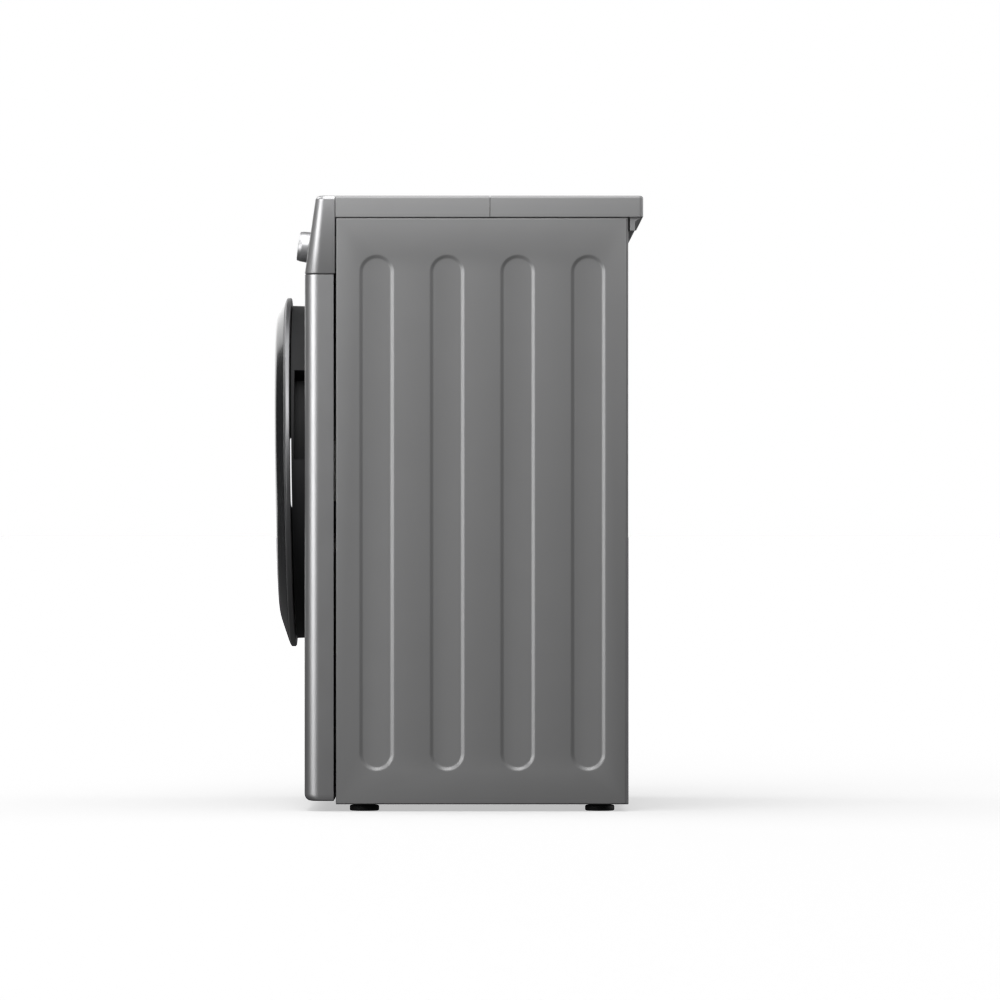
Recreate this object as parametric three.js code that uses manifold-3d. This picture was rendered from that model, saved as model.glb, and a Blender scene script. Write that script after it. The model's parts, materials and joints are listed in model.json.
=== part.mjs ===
// Slim front-loading washer dryer.
// Millimetres, +Z up, +X to the right of someone facing the machine.
// While it is built, Y is the depth behind the front panel: 0 on the panel, negative in front of it.
// The finished group is moved so that its box is centred on the origin, standing on Z = 0.
import * as THREE from "three";
import { mergeVertices } from "three/addons/utils/BufferGeometryUtils.js";
import Module from "manifold-3d";

const wasm = await Module();
wasm.setup();

// ---------------------------------------------------------------- driving dimensions
const WIDTH = 600; // across the lid
const HEIGHT = 850; // floor to lid top
const DEPTH = 467.4; // front panel to the rear of the lid
const DOOR_FRONT = 46.8; // how far the door stands in front of the panel
const FOOT_HEIGHT = 9; // pad under the cabinet
const CABINET_BOTTOM = 10;
const SHEET = 1.2; // steel sheet
const PLASTIC = 2.5; // plastic mouldings
const GAP = 0.3; // between pieces that rest on each other
const RUNNING = 0.35; // radial, between pieces that turn in each other

const LID_HEIGHT = 30;
const LID_FRONT = 42.7;
const LID_SEAM = 256;
const LID_BAR = 26; // width of the lid frames' sides
const BOARD_THICK = 16;

const SIDE_INSET = 1.5; // side panels inside the lid's width
const SIDE_FRONT = 43.5;
const SIDE_REAR = DEPTH - 20.5;
const SIDE_TOP = HEIGHT - LID_HEIGHT - 0.5;
const SIDE_FLANGE = 18;
const REAR_FLANGE = 10.6;
const CHANNEL_COUNT = 4;
const CHANNEL_PITCH = 97.3;
const CHANNEL_FIRST = SIDE_FRONT + 56;
const CHANNEL_HALF = 22.5; // half width of a channel's floor
const CHANNEL_BEVEL = 5;
const CHANNEL_DEPTH = 2.5;
const CHANNEL_LOW = CABINET_BOTTOM + 47.5;
const CHANNEL_HIGH = SIDE_TOP - 52.7;

const PANEL_INSET = 1; // front mouldings inside the lid's width
const PANEL_EDGE_R = 20;
const PANEL_DEPTH = 40;
const PANEL_BOTTOM = 14.7;
const PANEL_FOOT_R = 9;
const CONTROL_HEIGHT = 107.6;
const CONTROL_BOTTOM = HEIGHT - CONTROL_HEIGHT;
const PANEL_TOP = CONTROL_BOTTOM - 1.4;
const CONTROL_REAR = 41.6;
const CONTROL_TILT = THREE.MathUtils.degToRad(8.3);
const CONTROL_ORIGIN_Z = HEIGHT - CONTROL_HEIGHT / 2; // middle of the sloped face
// The sloped face starts level with the front panel at its lower edge.
const CONTROL_ORIGIN_Y = Math.tan(CONTROL_TILT) * (CONTROL_HEIGHT / 2) - 0.1;

const DOOR_Z = 470;
const DOOR_R = 246;
const DOOR_TILT = THREE.MathUtils.degToRad(0.75);
const RIM_FRONT = -27.6;
const RIM_REAR = -21.2;
const RIM_WIDTH = 6;
const KNEE_R = DOOR_R - 36.5;
const KNEE_RISE = 9.5; // the flat front sits above the door's centre
const KNEE_Y = -43.1;
const DOME = 2.9;
const COVER = 3; // thickness of the door's plastics
const WINDOW_R = KNEE_R - 37.5;
const FRAME_FRONT_R = DOOR_R - 11.3;
const FRAME_REAR_R = FRAME_FRONT_R - 2;
const FRAME_FRONT = -19.6;
const FRAME_REAR = 8;
const DISH_R = DOOR_R + 2.5;
const DISH_FLOOR_R = DISH_R - 7;
const DISH_DEPTH = 14;
const MOUTH_R = DISH_FLOOR_R - 49.5; // porthole in the front panel
const FRAME_HOLE_R = MOUTH_R - 32;
const MOUTH_COLLAR = 26;
const HINGE_X = 13 - DOOR_R;
const HINGE_Y = -19;
const HINGE_R = 6.5;
const HINGE_PIN_R = 3;
const HINGE_HALF = 44;
const KNUCKLE_HALF = 24;
const NOTCH_X = HINGE_X + HINGE_R + 2;
const NOTCH_HALF = 50;
const POCKET_FROM = THREE.MathUtils.degToRad(4);
const POCKET_TO = THREE.MathUtils.degToRad(37);
const POCKET_FLOOR_R = FRAME_FRONT_R - 24.7;
const BOWL_R = FRAME_HOLE_R - 3;
const BOWL_WALL = 4;
const BOWL_FLANGE_R = BOWL_R + 14;
const BOWL_REACH = 62;
const HOOK_X = DOOR_R - 28;
const HOOK_HALF = 8;
const HOOK_REACH = 30;

const TUB_Z = DOOR_Z;
const TUB_R = 262;
const TUB_WALL = 3;
const TUB_FRONT = 64;
const TUB_SPLIT = 158;
const TUB_REAR = 380;
const TUB_FLANGE = 8;
const TUB_MOUTH_R = MOUTH_R - 7.5;
const DRUM_SPACE = 19; // between the tub's wall and the drum
const DRUM_R = TUB_R - TUB_WALL - DRUM_SPACE;
const DRUM_FRONT = 74;
const DRUM_REAR = 358;
const DRUM_MOUTH_R = TUB_MOUTH_R + 2;
const BAFFLES = 3;
const BAFFLE_HEIGHT = 44;
const SHAFT_R = 15;
const HUB_R = 42;
const STATOR_R = 105;
const AIR_GAP = 3;
const ROTOR_WALL = 5;
const ROTOR_REAR = 432;

const DRAWER_LEFT = 30 - WIDTH / 2;
const DRAWER_WIDTH = 166;
const DRAWER_RIGHT = DRAWER_LEFT + DRAWER_WIDTH;
const DRAWER_LOW = CONTROL_BOTTOM + 12.6;
const DRAWER_HIGH = DRAWER_LOW + 51;
const DRAWER_LENGTH = 216;
const DRAWER_FRONT_HALF = 31;
const DRAWER_TRAVEL_GAP = 1.5;

const KNOB_R = 22;
const KNOB_TIP_R = 20;
const KNOB_LENGTH = 21.7;
const KNOB_Z = -10.4; // in the sloped frame
const BUTTON_PROUD = 1.2;
const BUTTON_GAP = 0.6;
const BUTTON_DEPTH = 6;

const FLAP_X = WIDTH / 2 - 80;
const FLAP_Z = 80;
const FLAP_HALF = 46;
const FLAP_GAP = 1;
const PUMP_R = 36;
const FILTER_R = 31;

const DAMPER_X = 150;
const DAMPER_Y = 200;
const SPRING_X = TUB_R - 22;
const SPRING_Y = 292;
const SPRING_R = 9;
const SPRING_WIRE = 2.2;
const SPRING_LOW = TUB_Z + 146;
const SPRING_HIGH = SIDE_TOP - 31.5;
const FAN_X = 120;
const FAN_Y = 250;
const FAN_Z = TUB_Z + TUB_R + 4;
const FAN_R = 52;
const DUCT_WALL = 2.5;
const FOOT_X = WIDTH / 2 - 50;
const FOOT_Y = [SIDE_FRONT + 38.5, SIDE_REAR - 38.9];
const SEGMENTS = 32; // round a full turn of the large pieces

const HALF = WIDTH / 2;
const LID_BOTTOM = HEIGHT - LID_HEIGHT;

// ---------------------------------------------------------------- materials
const FINISH = {
  steel: [0x6d6d6e, 0.38, 0.75],
  front: [0x7a7a7b, 0.3, 0.85],
  lid: [0x8b8b8c, 0.5, 0.1],
  zinc: [0xb4b6b8, 0.45, 0.8],
  gloss: [0x101012, 0.08, 0.0],
  matt: [0x161617, 0.6, 0.0],
  satin: [0x8a8a8c, 0.35, 0.6],
  metal: [0xc4c6c8, 0.25, 1.0],
  glass: [0x30363a, 0.05, 0.0],
  rubber: [0x76787a, 0.8, 0.0],
  white: [0xdcdcda, 0.5, 0.0],
  stainless: [0xb9bbbd, 0.28, 1.0],
  concrete: [0x9a978f, 0.9, 0.0],
  copper: [0x9c5a34, 0.4, 0.7],
};

const machine = new THREE.Group();
const slope = new THREE.Group(); // frame of the control panel's sloped face, -Y pointing out of it
slope.position.set(0, CONTROL_ORIGIN_Y, CONTROL_ORIGIN_Z);
slope.rotation.x = -CONTROL_TILT;
const doorFrame = new THREE.Group(); // frame of the door's cover, tipped a little forward at the top
doorFrame.position.set(0, 0, DOOR_Z);
doorFrame.rotation.x = DOOR_TILT;
machine.add(slope, doorFrame);

function part(name, geometry, finish, parent = machine) {
  const [color, roughness, metalness] = FINISH[finish];
  const mesh = new THREE.Mesh(geometry, new THREE.MeshStandardMaterial({ color, roughness, metalness }));
  mesh.name = name;
  parent.add(mesh);
  return mesh;
}

// ---------------------------------------------------------------- solids
function toSolid(geometry) {
  const bare = geometry.clone();
  bare.deleteAttribute("normal");
  bare.deleteAttribute("uv");
  const merged = mergeVertices(bare, 1e-3);
  const vertProperties = new Float32Array(merged.attributes.position.array);
  const triVerts = new Uint32Array(merged.index.array);
  return new wasm.Manifold(new wasm.Mesh({ numProp: 3, vertProperties, triVerts }));
}

function toGeometry(solid) {
  const mesh = solid.getMesh();
  const points = new Float32Array(mesh.numVert * 3);
  for (let i = 0; i < mesh.numVert; i += 1) {
    points.set(mesh.vertProperties.subarray(i * mesh.numProp, i * mesh.numProp + 3), i * 3);
  }
  const geometry = new THREE.BufferGeometry();
  geometry.setAttribute("position", new THREE.BufferAttribute(points, 3));
  geometry.setIndex(new THREE.BufferAttribute(mesh.triVerts, 1));
  geometry.computeVertexNormals();
  return geometry;
}

function join(first, ...others) {
  return toGeometry(others.reduce((sum, next) => sum.add(toSolid(next)), toSolid(first)));
}

function cut(first, ...others) {
  return toGeometry(others.reduce((rest, next) => rest.subtract(toSolid(next)), toSolid(first)));
}

function common(first, ...others) {
  return toGeometry(others.reduce((rest, next) => rest.intersect(toSolid(next)), toSolid(first)));
}

// A box between two corners.
function box(x0, x1, y0, y1, z0, z1) {
  const geometry = new THREE.BoxGeometry(x1 - x0, y1 - y0, z1 - z0);
  return geometry.translate((x0 + x1) / 2, (y0 + y1) / 2, (z0 + z1) / 2);
}

// A cylinder along Y from y0 to y1.
function rod(radius, y0, y1, x = 0, z = 0, segments = SEGMENTS) {
  const geometry = new THREE.CylinderGeometry(radius, radius, y1 - y0, segments);
  return geometry.translate(0, (y0 + y1) / 2, 0).translate(x, 0, z);
}

// A cylinder along Z.
function post(radius, x, y, z0, z1, segments = 16) {
  const geometry = new THREE.CylinderGeometry(radius, radius, z1 - z0, segments);
  return geometry.rotateX(Math.PI / 2).translate(x, y, (z0 + z1) / 2);
}

// A body of revolution about Y, from [radius, y] points. A ring repeats its first point at the end.
function turned(points, x = 0, z = 0, segments = SEGMENTS) {
  const outline = points.map(([r, y]) => new THREE.Vector2(r, y));
  const area = THREE.ShapeUtils.area(outline);
  if (area < 0) outline.reverse();
  return new THREE.LatheGeometry(outline, segments).translate(x, 0, z);
}

function ring(points, x = 0, z = 0, segments = SEGMENTS) {
  return turned([...points, points[0]], x, z, segments);
}

// A flat outline in X and Y, raised along Z from z0 to z1.
function raised(outline, z0, z1) {
  const settings = { depth: z1 - z0, bevelEnabled: false, curveSegments: 3 };
  const geometry = new THREE.ExtrudeGeometry(outline, settings);
  return geometry.translate(0, 0, z0);
}

// A flat outline in Y and Z, run along X from x0 to x1.
function alongX(outline, x0, x1) {
  const settings = { depth: x1 - x0, bevelEnabled: false, curveSegments: 2 };
  const geometry = new THREE.ExtrudeGeometry(outline, settings);
  geometry.applyMatrix4(new THREE.Matrix4().set(0, 0, 1, 0, 1, 0, 0, 0, 0, 1, 0, 0, 0, 0, 0, 1));
  return geometry.translate(x0, 0, 0);
}

// A flat outline in X and Z, run along Y from y0 to y1.
function alongY(outline, y0, y1) {
  const settings = { depth: y1 - y0, bevelEnabled: false, curveSegments: 5 };
  const geometry = new THREE.ExtrudeGeometry(outline, settings);
  return geometry.rotateX(Math.PI / 2).translate(0, y1, 0);
}

function outlineOf(points) {
  return new THREE.Shape(points.map(([a, b]) => new THREE.Vector2(a, b)));
}

// A rounded slot shape, half as wide as `half`, with round ends centred at low and high.
function slotShape(half, low, high) {
  const shape = new THREE.Shape();
  shape.absarc(0, high, half, 0, Math.PI, false);
  shape.absarc(0, low, half, Math.PI, 2 * Math.PI, false);
  shape.closePath();
  return shape;
}

// A part of a ring about Y between two angles, measured from +X towards +Z.
function sector(inner, outer, y0, y1, from, to, z) {
  const shape = new THREE.Shape();
  shape.absarc(0, 0, outer, from, to, false);
  shape.absarc(0, 0, inner, to, from, true);
  shape.closePath();
  return alongY(shape, y0, y1).translate(0, 0, z);
}

// ---------------------------------------------------------------- cabinet shell
// One pressed channel: a slot with sloping walls, sunk in the side panel's outer face.
function channel(grow, reach) {
  const shape = slotShape(CHANNEL_HALF + grow, CHANNEL_LOW + CHANNEL_HALF, CHANNEL_HIGH - CHANNEL_HALF);
  const geometry = new THREE.ExtrudeGeometry(shape, {
    depth: reach,
    bevelThickness: CHANNEL_DEPTH,
    bevelSize: CHANNEL_BEVEL,
    bevelSegments: 1,
    curveSegments: 4,
  });
  // Laid so that its wide middle starts at X = 0 and the sloping end runs to X = -CHANNEL_DEPTH.
  geometry.applyMatrix4(new THREE.Matrix4().set(0, 0, 1, 0, 1, 0, 0, 0, 0, 1, 0, 0, 0, 0, 0, 1));
  return geometry;
}

// The right-hand side panel; the left one is its mirror image.
function sidePanelGeometry() {
  const face = HALF - SIDE_INSET;
  const shell = box(face - SIDE_FLANGE, face, SIDE_FRONT, SIDE_REAR, CABINET_BOTTOM, SIDE_TOP);
  const room = box(
    face - SIDE_FLANGE - 1,
    face - SHEET,
    SIDE_FRONT + SHEET,
    SIDE_REAR - SHEET,
    CABINET_BOTTOM + SHEET,
    SIDE_TOP - SHEET,
  );
  const rearCut = box(
    face - SIDE_FLANGE - 1,
    face - REAR_FLANGE,
    SIDE_REAR - 2 * SHEET,
    SIDE_REAR + 1,
    CABINET_BOTTOM - 1,
    SIDE_TOP + 1,
  );
  const eye = SPRING_HIGH + 6;
  const hanger = box(SPRING_X - 14, face - SHEET / 2, SPRING_Y - 12, SPRING_Y + 12, eye, eye + 3);
  let geometry = cut(shell, room, rearCut);
  for (let i = 0; i < CHANNEL_COUNT; i += 1) {
    const y = CHANNEL_FIRST + i * CHANNEL_PITCH;
    const inner = channel(SHEET / 2, CHANNEL_DEPTH).translate(face - SHEET - GAP / 3, y, 0);
    const outer = channel(0, CHANNEL_DEPTH).translate(face, y, 0);
    const bump = common(inner, box(face - 12, face - SHEET / 2, 0, DEPTH, 0, HEIGHT));
    geometry = cut(join(geometry, bump), outer);
  }
  return join(geometry, hanger);
}

function mirrored(geometry) {
  const copy = geometry.clone();
  copy.applyMatrix4(new THREE.Matrix4().makeScale(-1, 1, 1));
  const index = copy.index.array;
  for (let i = 0; i < index.length; i += 3) {
    [index[i + 1], index[i + 2]] = [index[i + 2], index[i + 1]];
  }
  copy.computeVertexNormals();
  return copy;
}

const REAR_PANEL_Y = SIDE_REAR - 4.2;
const COVER_R = 150;
const INLET = { x: 180, z: HEIGHT - 80, half: 24 };
const GLAND = { x: -200, z: HEIGHT - 85, radius: 9 };
const DRAIN = { x: -190, z: 110, radius: 13 };
const REAR_HALF = HALF - SIDE_INSET - REAR_FLANGE - 0.6;
const REAR_LOW = CABINET_BOTTOM + SHEET + 0.6;
const REAR_TOP = SIDE_TOP - SHEET - 0.6;

function rearPanelGeometry() {
  const tray = cut(
    box(-REAR_HALF, REAR_HALF, REAR_PANEL_Y - 12, REAR_PANEL_Y, REAR_LOW, REAR_TOP),
    box(
      -REAR_HALF + SHEET,
      REAR_HALF - SHEET,
      REAR_PANEL_Y - 13,
      REAR_PANEL_Y - SHEET,
      REAR_LOW + SHEET,
      REAR_TOP - SHEET,
    ),
  );
  const h = INLET.half;
  return cut(
    tray,
    rod(COVER_R - 10, REAR_PANEL_Y - 5, REAR_PANEL_Y + 5, 0, TUB_Z),
    box(INLET.x - h, INLET.x + h, REAR_PANEL_Y - 5, REAR_PANEL_Y + 5, INLET.z - h, INLET.z + h),
    rod(GLAND.radius, REAR_PANEL_Y - 5, REAR_PANEL_Y + 5, GLAND.x, GLAND.z, 24),
    rod(DRAIN.radius + 4, REAR_PANEL_Y - 5, REAR_PANEL_Y + 5, DRAIN.x, DRAIN.z, 24),
  );
}

function rearCoverGeometry() {
  const y = REAR_PANEL_Y + GAP;
  return turned(
    [
      [0, y],
      [COVER_R, y],
      [COVER_R, y + SHEET],
      [COVER_R - 20, y + SHEET],
      [COVER_R - 24, y + 2.6],
      [0, y + 2.6],
    ],
    0,
    TUB_Z,
  );
}

const TRAY_TOP = 30;
function baseTrayGeometry() {
  const half = HALF - SIDE_INSET - SHEET - 0.6;
  const z = CABINET_BOTTOM + SHEET + GAP;
  const back = REAR_PANEL_Y - 14;
  const tray = cut(
    box(-half, half, SIDE_FRONT + SHEET + 0.6, back, z, TRAY_TOP),
    box(-half + 2, half - 2, SIDE_FRONT + SHEET + 2.6, back - 2, z + 2, TRAY_TOP + 1),
  );
  const bosses = footPlaces().map(([x, y]) => post(12, x, y, z + 1, TRAY_TOP - 4));
  const holes = footPlaces().map(([x, y]) => post(5 + RUNNING, x, y, z - 2, TRAY_TOP));
  return cut(join(tray, ...bosses), ...holes);
}

function footPlaces() {
  return [-1, 1].flatMap((side) => FOOT_Y.map((y) => [side * FOOT_X, y]));
}

function footGeometry(x, y) {
  return join(post(20, x, y, 0, FOOT_HEIGHT, 24), post(5, x, y, FOOT_HEIGHT - 1, 46, 16));
}

// ---------------------------------------------------------------- lid
const LID_LIP = [
  [DEPTH - 1.6, LID_BOTTOM],
  [DEPTH - 11, LID_BOTTOM - 6],
  [DEPTH - 11.3, LID_BOTTOM - 18.4],
  [DEPTH - 18.2, LID_BOTTOM - 18.4],
  [DEPTH - 18.2, LID_BOTTOM + 1],
  [DEPTH - 4, LID_BOTTOM + 1],
];

// The frame's outline in plan between two depths, its free corners rounded.
function lidPlan(y0, y1, roundFront, roundRear) {
  const r = 6;
  const a = roundFront ? r : 0.01;
  const b = roundRear ? r : 0.01;
  const shape = new THREE.Shape();
  shape.moveTo(-HALF + a, y0);
  shape.lineTo(HALF - a, y0);
  shape.quadraticCurveTo(HALF, y0, HALF, y0 + a);
  shape.lineTo(HALF, y1 - b);
  shape.quadraticCurveTo(HALF, y1, HALF - b, y1);
  shape.lineTo(-HALF + b, y1);
  shape.quadraticCurveTo(-HALF, y1, -HALF, y1 - b);
  shape.lineTo(-HALF, y0 + a);
  shape.quadraticCurveTo(-HALF, y0, -HALF + a, y0);
  return shape;
}

const BOARD_FRONT = LID_FRONT + LID_BAR;
const BOARD_REAR = DEPTH - LID_BAR;
function lidRoom() {
  const x = HALF - LID_BAR;
  const ledge = HEIGHT - BOARD_THICK - 1 - GAP;
  return [
    box(-x, x, BOARD_FRONT, BOARD_REAR, ledge, HEIGHT + 1),
    box(-x + 8, x - 8, BOARD_FRONT + 8, BOARD_REAR - 8, LID_BOTTOM - 30, HEIGHT),
    box(-x - 20, x + 20, BOARD_FRONT - 20, BOARD_REAR + 6, LID_BOTTOM - 1, LID_BOTTOM + 9),
  ];
}

function lidFrontGeometry() {
  return cut(raised(lidPlan(LID_FRONT, LID_SEAM - 0.4, false, false), LID_BOTTOM, HEIGHT), ...lidRoom());
}

function lidRearGeometry() {
  const frame = raised(lidPlan(LID_SEAM + 0.4, DEPTH, false, true), LID_BOTTOM, HEIGHT);
  const lip = alongX(outlineOf(LID_LIP), -HALF + 4, HALF - 4);
  return join(cut(frame, ...lidRoom()), lip);
}

function lidBoardGeometry() {
  const x = HALF - LID_BAR - 0.6;
  return box(-x, x, BOARD_FRONT + 0.6, BOARD_REAR - 0.6, HEIGHT - BOARD_THICK - 1, HEIGHT - 1);
}

// ---------------------------------------------------------------- front and control panels
// Plan outline of a front moulding: flat front, rounded vertical edges, straight sides.
function frontPlan(inset, rear) {
  const x = HALF - PANEL_INSET - inset;
  const r = PANEL_EDGE_R - inset;
  const shape = new THREE.Shape();
  shape.moveTo(-x, rear);
  shape.lineTo(-x, inset + r);
  shape.absarc(-x + r, inset + r, r, Math.PI, 1.5 * Math.PI, false);
  shape.absarc(x - r, inset + r, r, 1.5 * Math.PI, 2 * Math.PI, false);
  shape.lineTo(x, rear);
  shape.closePath();
  return shape;
}

// Side outline that rounds a front moulding's low front corner.
function footOutline(inset, top) {
  const r = PANEL_FOOT_R - inset;
  const shape = new THREE.Shape();
  shape.moveTo(PANEL_DEPTH + 1, PANEL_BOTTOM + inset);
  shape.lineTo(PANEL_DEPTH + 1, top);
  shape.lineTo(inset, top);
  shape.lineTo(inset, PANEL_BOTTOM + inset + r);
  shape.absarc(inset + r, PANEL_BOTTOM + inset + r, r, Math.PI, 1.5 * Math.PI, false);
  shape.closePath();
  return shape;
}

function frontPanelGeometry() {
  const outer = common(
    raised(frontPlan(0, PANEL_DEPTH), 0, PANEL_TOP),
    alongX(footOutline(0, PANEL_TOP), -HALF, HALF),
  );
  const inner = common(
    raised(frontPlan(SHEET, PANEL_DEPTH + 1), 0, PANEL_TOP - SHEET),
    alongX(footOutline(SHEET, PANEL_TOP - SHEET), -HALF, HALF),
  );
  const dish = ring(
    [
      [DISH_R + 3, 0],
      [DISH_R, 0],
      [DISH_FLOOR_R, DISH_DEPTH],
      [MOUTH_R, DISH_DEPTH],
      [MOUTH_R, MOUTH_COLLAR],
      [MOUTH_R + SHEET, MOUTH_COLLAR],
      [MOUTH_R + SHEET, DISH_DEPTH + SHEET],
      [DISH_FLOOR_R + SHEET, DISH_DEPTH + SHEET],
      [DISH_R + 1.5, SHEET],
      [DISH_R + 3, SHEET],
    ],
    0,
    DOOR_Z,
  );
  const flapHole = FLAP_HALF + FLAP_GAP;
  const shell = cut(
    outer,
    inner,
    rod(DISH_R + 1, -5, 5, 0, DOOR_Z),
    box(FLAP_X - flapHole, FLAP_X + flapHole, -5, 5, FLAP_Z - flapHole, FLAP_Z + flapHole),
  );
  const hookSlot = box(HOOK_X - 10, HOOK_X + 10, 5, 20, DOOR_Z - HOOK_HALF - 7, DOOR_Z + HOOK_HALF + 7);
  return cut(join(shell, dish), hookSlot);
}

// Side outline of the sloped control panel.
function controlOutline(inset, rear) {
  const lean = Math.tan(CONTROL_TILT);
  const yAt = (z) => CONTROL_ORIGIN_Y + (z - CONTROL_ORIGIN_Z) * lean + inset;
  const low = CONTROL_BOTTOM + inset;
  const high = HEIGHT - inset;
  const r = 5.5;
  const shape = new THREE.Shape();
  shape.moveTo(rear, low);
  shape.lineTo(rear, high);
  shape.lineTo(yAt(high) + r, high);
  shape.quadraticCurveTo(yAt(high), high, yAt(high - r), high - r);
  shape.lineTo(yAt(low + 3), low + 3);
  shape.lineTo(yAt(low) + 2, low);
  shape.closePath();
  return shape;
}

// The control panel's plan outline, leaning back with the slope.
function controlBlock(inset, rear) {
  const block = raised(frontPlan(inset, rear + 40), CONTROL_BOTTOM + inset, HEIGHT - inset);
  const lean = new THREE.Matrix4().set(1, 0, 0, 0, 0, 1, Math.tan(CONTROL_TILT), 0, 0, 0, 1, 0, 0, 0, 0, 1);
  block.translate(0, 0, -CONTROL_ORIGIN_Z).applyMatrix4(lean);
  block.translate(0, CONTROL_ORIGIN_Y, CONTROL_ORIGIN_Z);
  return common(block, alongX(controlOutline(inset, rear), -HALF, HALF));
}

const DISPLAY = { x: 128, z: 14, halfWidth: 86, halfHeight: 22, proud: 0.5 };
const BUTTONS = [
  { name: "power_button", x: -56, z: KNOB_Z, halfWidth: 10, halfHeight: 10 },
  { name: "start_button", x: 254, z: KNOB_Z, halfWidth: 13, halfHeight: 13 },
  { name: "option_button_1", x: 92, z: -26, halfWidth: 22, halfHeight: 6 },
  { name: "option_button_2", x: 164, z: -26, halfWidth: 22, halfHeight: 6 },
];

// A button's outline in the sloped frame, with fully rounded ends.
function buttonShape(button, grow) {
  const r = button.halfHeight + grow;
  const run = button.halfWidth - button.halfHeight;
  const shape = new THREE.Shape();
  shape.absarc(button.x + run, button.z, r, -Math.PI / 2, Math.PI / 2, false);
  shape.absarc(button.x - run, button.z, r, Math.PI / 2, 1.5 * Math.PI, false);
  shape.closePath();
  return shape;
}

function inSlope(geometry) {
  slope.updateMatrix();
  return geometry.clone().applyMatrix4(slope.matrix);
}

function drawerFrontBox(grow, y0, y1) {
  const mid = (DRAWER_LEFT + DRAWER_RIGHT) / 2;
  const half = (DRAWER_RIGHT - DRAWER_LEFT) / 2 + 9 + grow;
  const z = CONTROL_ORIGIN_Z - 10;
  return box(mid - half, mid + half, y0, y1, z - DRAWER_FRONT_HALF - grow, z + DRAWER_FRONT_HALF + grow);
}

function controlPanelGeometry() {
  const shell = cut(controlBlock(0, CONTROL_REAR), controlBlock(PLASTIC, CONTROL_REAR + 1));
  const through = 8;
  const cutters = BUTTONS.map((button) =>
    inSlope(alongY(buttonShape(button, BUTTON_GAP), -through, through)),
  );
  const w = DISPLAY.halfWidth;
  const h = DISPLAY.halfHeight;
  const pane = box(DISPLAY.x - w, DISPLAY.x + w, -through, through, DISPLAY.z - h, DISPLAY.z + h);
  const knobHole = rod(5 + RUNNING, -through, through, 0, KNOB_Z, 20);
  return cut(shell, drawerFrontBox(1, -30, 36), inSlope(pane), inSlope(knobHole), ...cutters);
}

function displayGeometry() {
  const w = DISPLAY.halfWidth - GAP;
  const h = DISPLAY.halfHeight - GAP;
  return box(DISPLAY.x - w, DISPLAY.x + w, -DISPLAY.proud, 2, DISPLAY.z - h, DISPLAY.z + h);
}

function buttonGeometry(button) {
  const cap = alongY(buttonShape(button, 0), -BUTTON_PROUD, BUTTON_DEPTH);
  const foot = alongY(buttonShape(button, 1.5), PLASTIC + 0.5, BUTTON_DEPTH);
  return join(cap, foot);
}

function knobGeometry() {
  const tip = -KNOB_LENGTH;
  return turned(
    [
      [0, 9],
      [5, 9],
      [5, -0.6],
      [KNOB_R, -0.6],
      [KNOB_R - 0.4, tip + 4],
      [KNOB_TIP_R, tip],
      [0, tip],
    ],
    0,
    KNOB_Z,
    28,
  );
}

function controlBoardGeometry() {
  const plate = box(30, 272, 20, 22, -40, 36);
  const screen = box(DISPLAY.x - 60, DISPLAY.x + 60, 10, 20.5, DISPLAY.z - 16, DISPLAY.z + 16);
  return join(plate, screen);
}

// ---------------------------------------------------------------- drawer
const HOUSING = {
  left: DRAWER_LEFT - DRAWER_TRAVEL_GAP - PLASTIC,
  right: DRAWER_RIGHT + DRAWER_TRAVEL_GAP + PLASTIC,
  low: DRAWER_LOW - DRAWER_TRAVEL_GAP - PLASTIC,
  high: DRAWER_HIGH + DRAWER_TRAVEL_GAP + PLASTIC,
  front: 36.5,
  rear: 22 + DRAWER_LENGTH + 8,
};

function housingGeometry() {
  const outer = box(HOUSING.left, HOUSING.right, HOUSING.front, HOUSING.rear, HOUSING.low, HOUSING.high);
  const inner = box(
    HOUSING.left + PLASTIC,
    HOUSING.right - PLASTIC,
    HOUSING.front - 1,
    HOUSING.rear - PLASTIC,
    HOUSING.low + PLASTIC,
    HOUSING.high - PLASTIC,
  );
  const outlet = post(11, DRAWER_RIGHT - 30, HOUSING.rear - 30, HOUSING.low - 1, HOUSING.low + PLASTIC + 1);
  return cut(outer, inner, outlet);
}

const TRAY_FRONT = 22;
function drawerTrayGeometry() {
  const trayRear = TRAY_FRONT + DRAWER_LENGTH;
  const outer = box(DRAWER_LEFT, DRAWER_RIGHT, TRAY_FRONT, trayRear, DRAWER_LOW, DRAWER_HIGH);
  const width = (DRAWER_RIGHT - DRAWER_LEFT - 4 * PLASTIC) / 3;
  const rooms = [0, 1, 2].map((i) => {
    const x = DRAWER_LEFT + PLASTIC + i * (width + PLASTIC);
    return box(
      x,
      x + width,
      TRAY_FRONT + PLASTIC,
      TRAY_FRONT + DRAWER_LENGTH - PLASTIC,
      DRAWER_LOW + PLASTIC,
      DRAWER_HIGH + 1,
    );
  });
  return cut(outer, ...rooms);
}

// The drawer's front: a slab whose face continues the control panel's slope.
function drawerFrontGeometry() {
  const slab = cut(controlBlock(0, CONTROL_REAR), controlBlock(4, CONTROL_REAR + 1));
  const face = common(slab, drawerFrontBox(0, -30, TRAY_FRONT - GAP));
  const mid = (DRAWER_LEFT + DRAWER_RIGHT) / 2;
  const neck = box(mid - 60, mid + 60, 9, TRAY_FRONT - GAP, DRAWER_LOW + 4, DRAWER_HIGH - 14);
  return join(face, neck);
}

// ---------------------------------------------------------------- door
// A ring of points round the door's axis, for lofting.
function circlePoints(radius, y, rise = 0) {
  return Array.from({ length: SEGMENTS }, (_, i) => {
    const a = (i / SEGMENTS) * 2 * Math.PI;
    return [radius * Math.cos(a), y, rise + radius * Math.sin(a)];
  });
}

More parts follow.
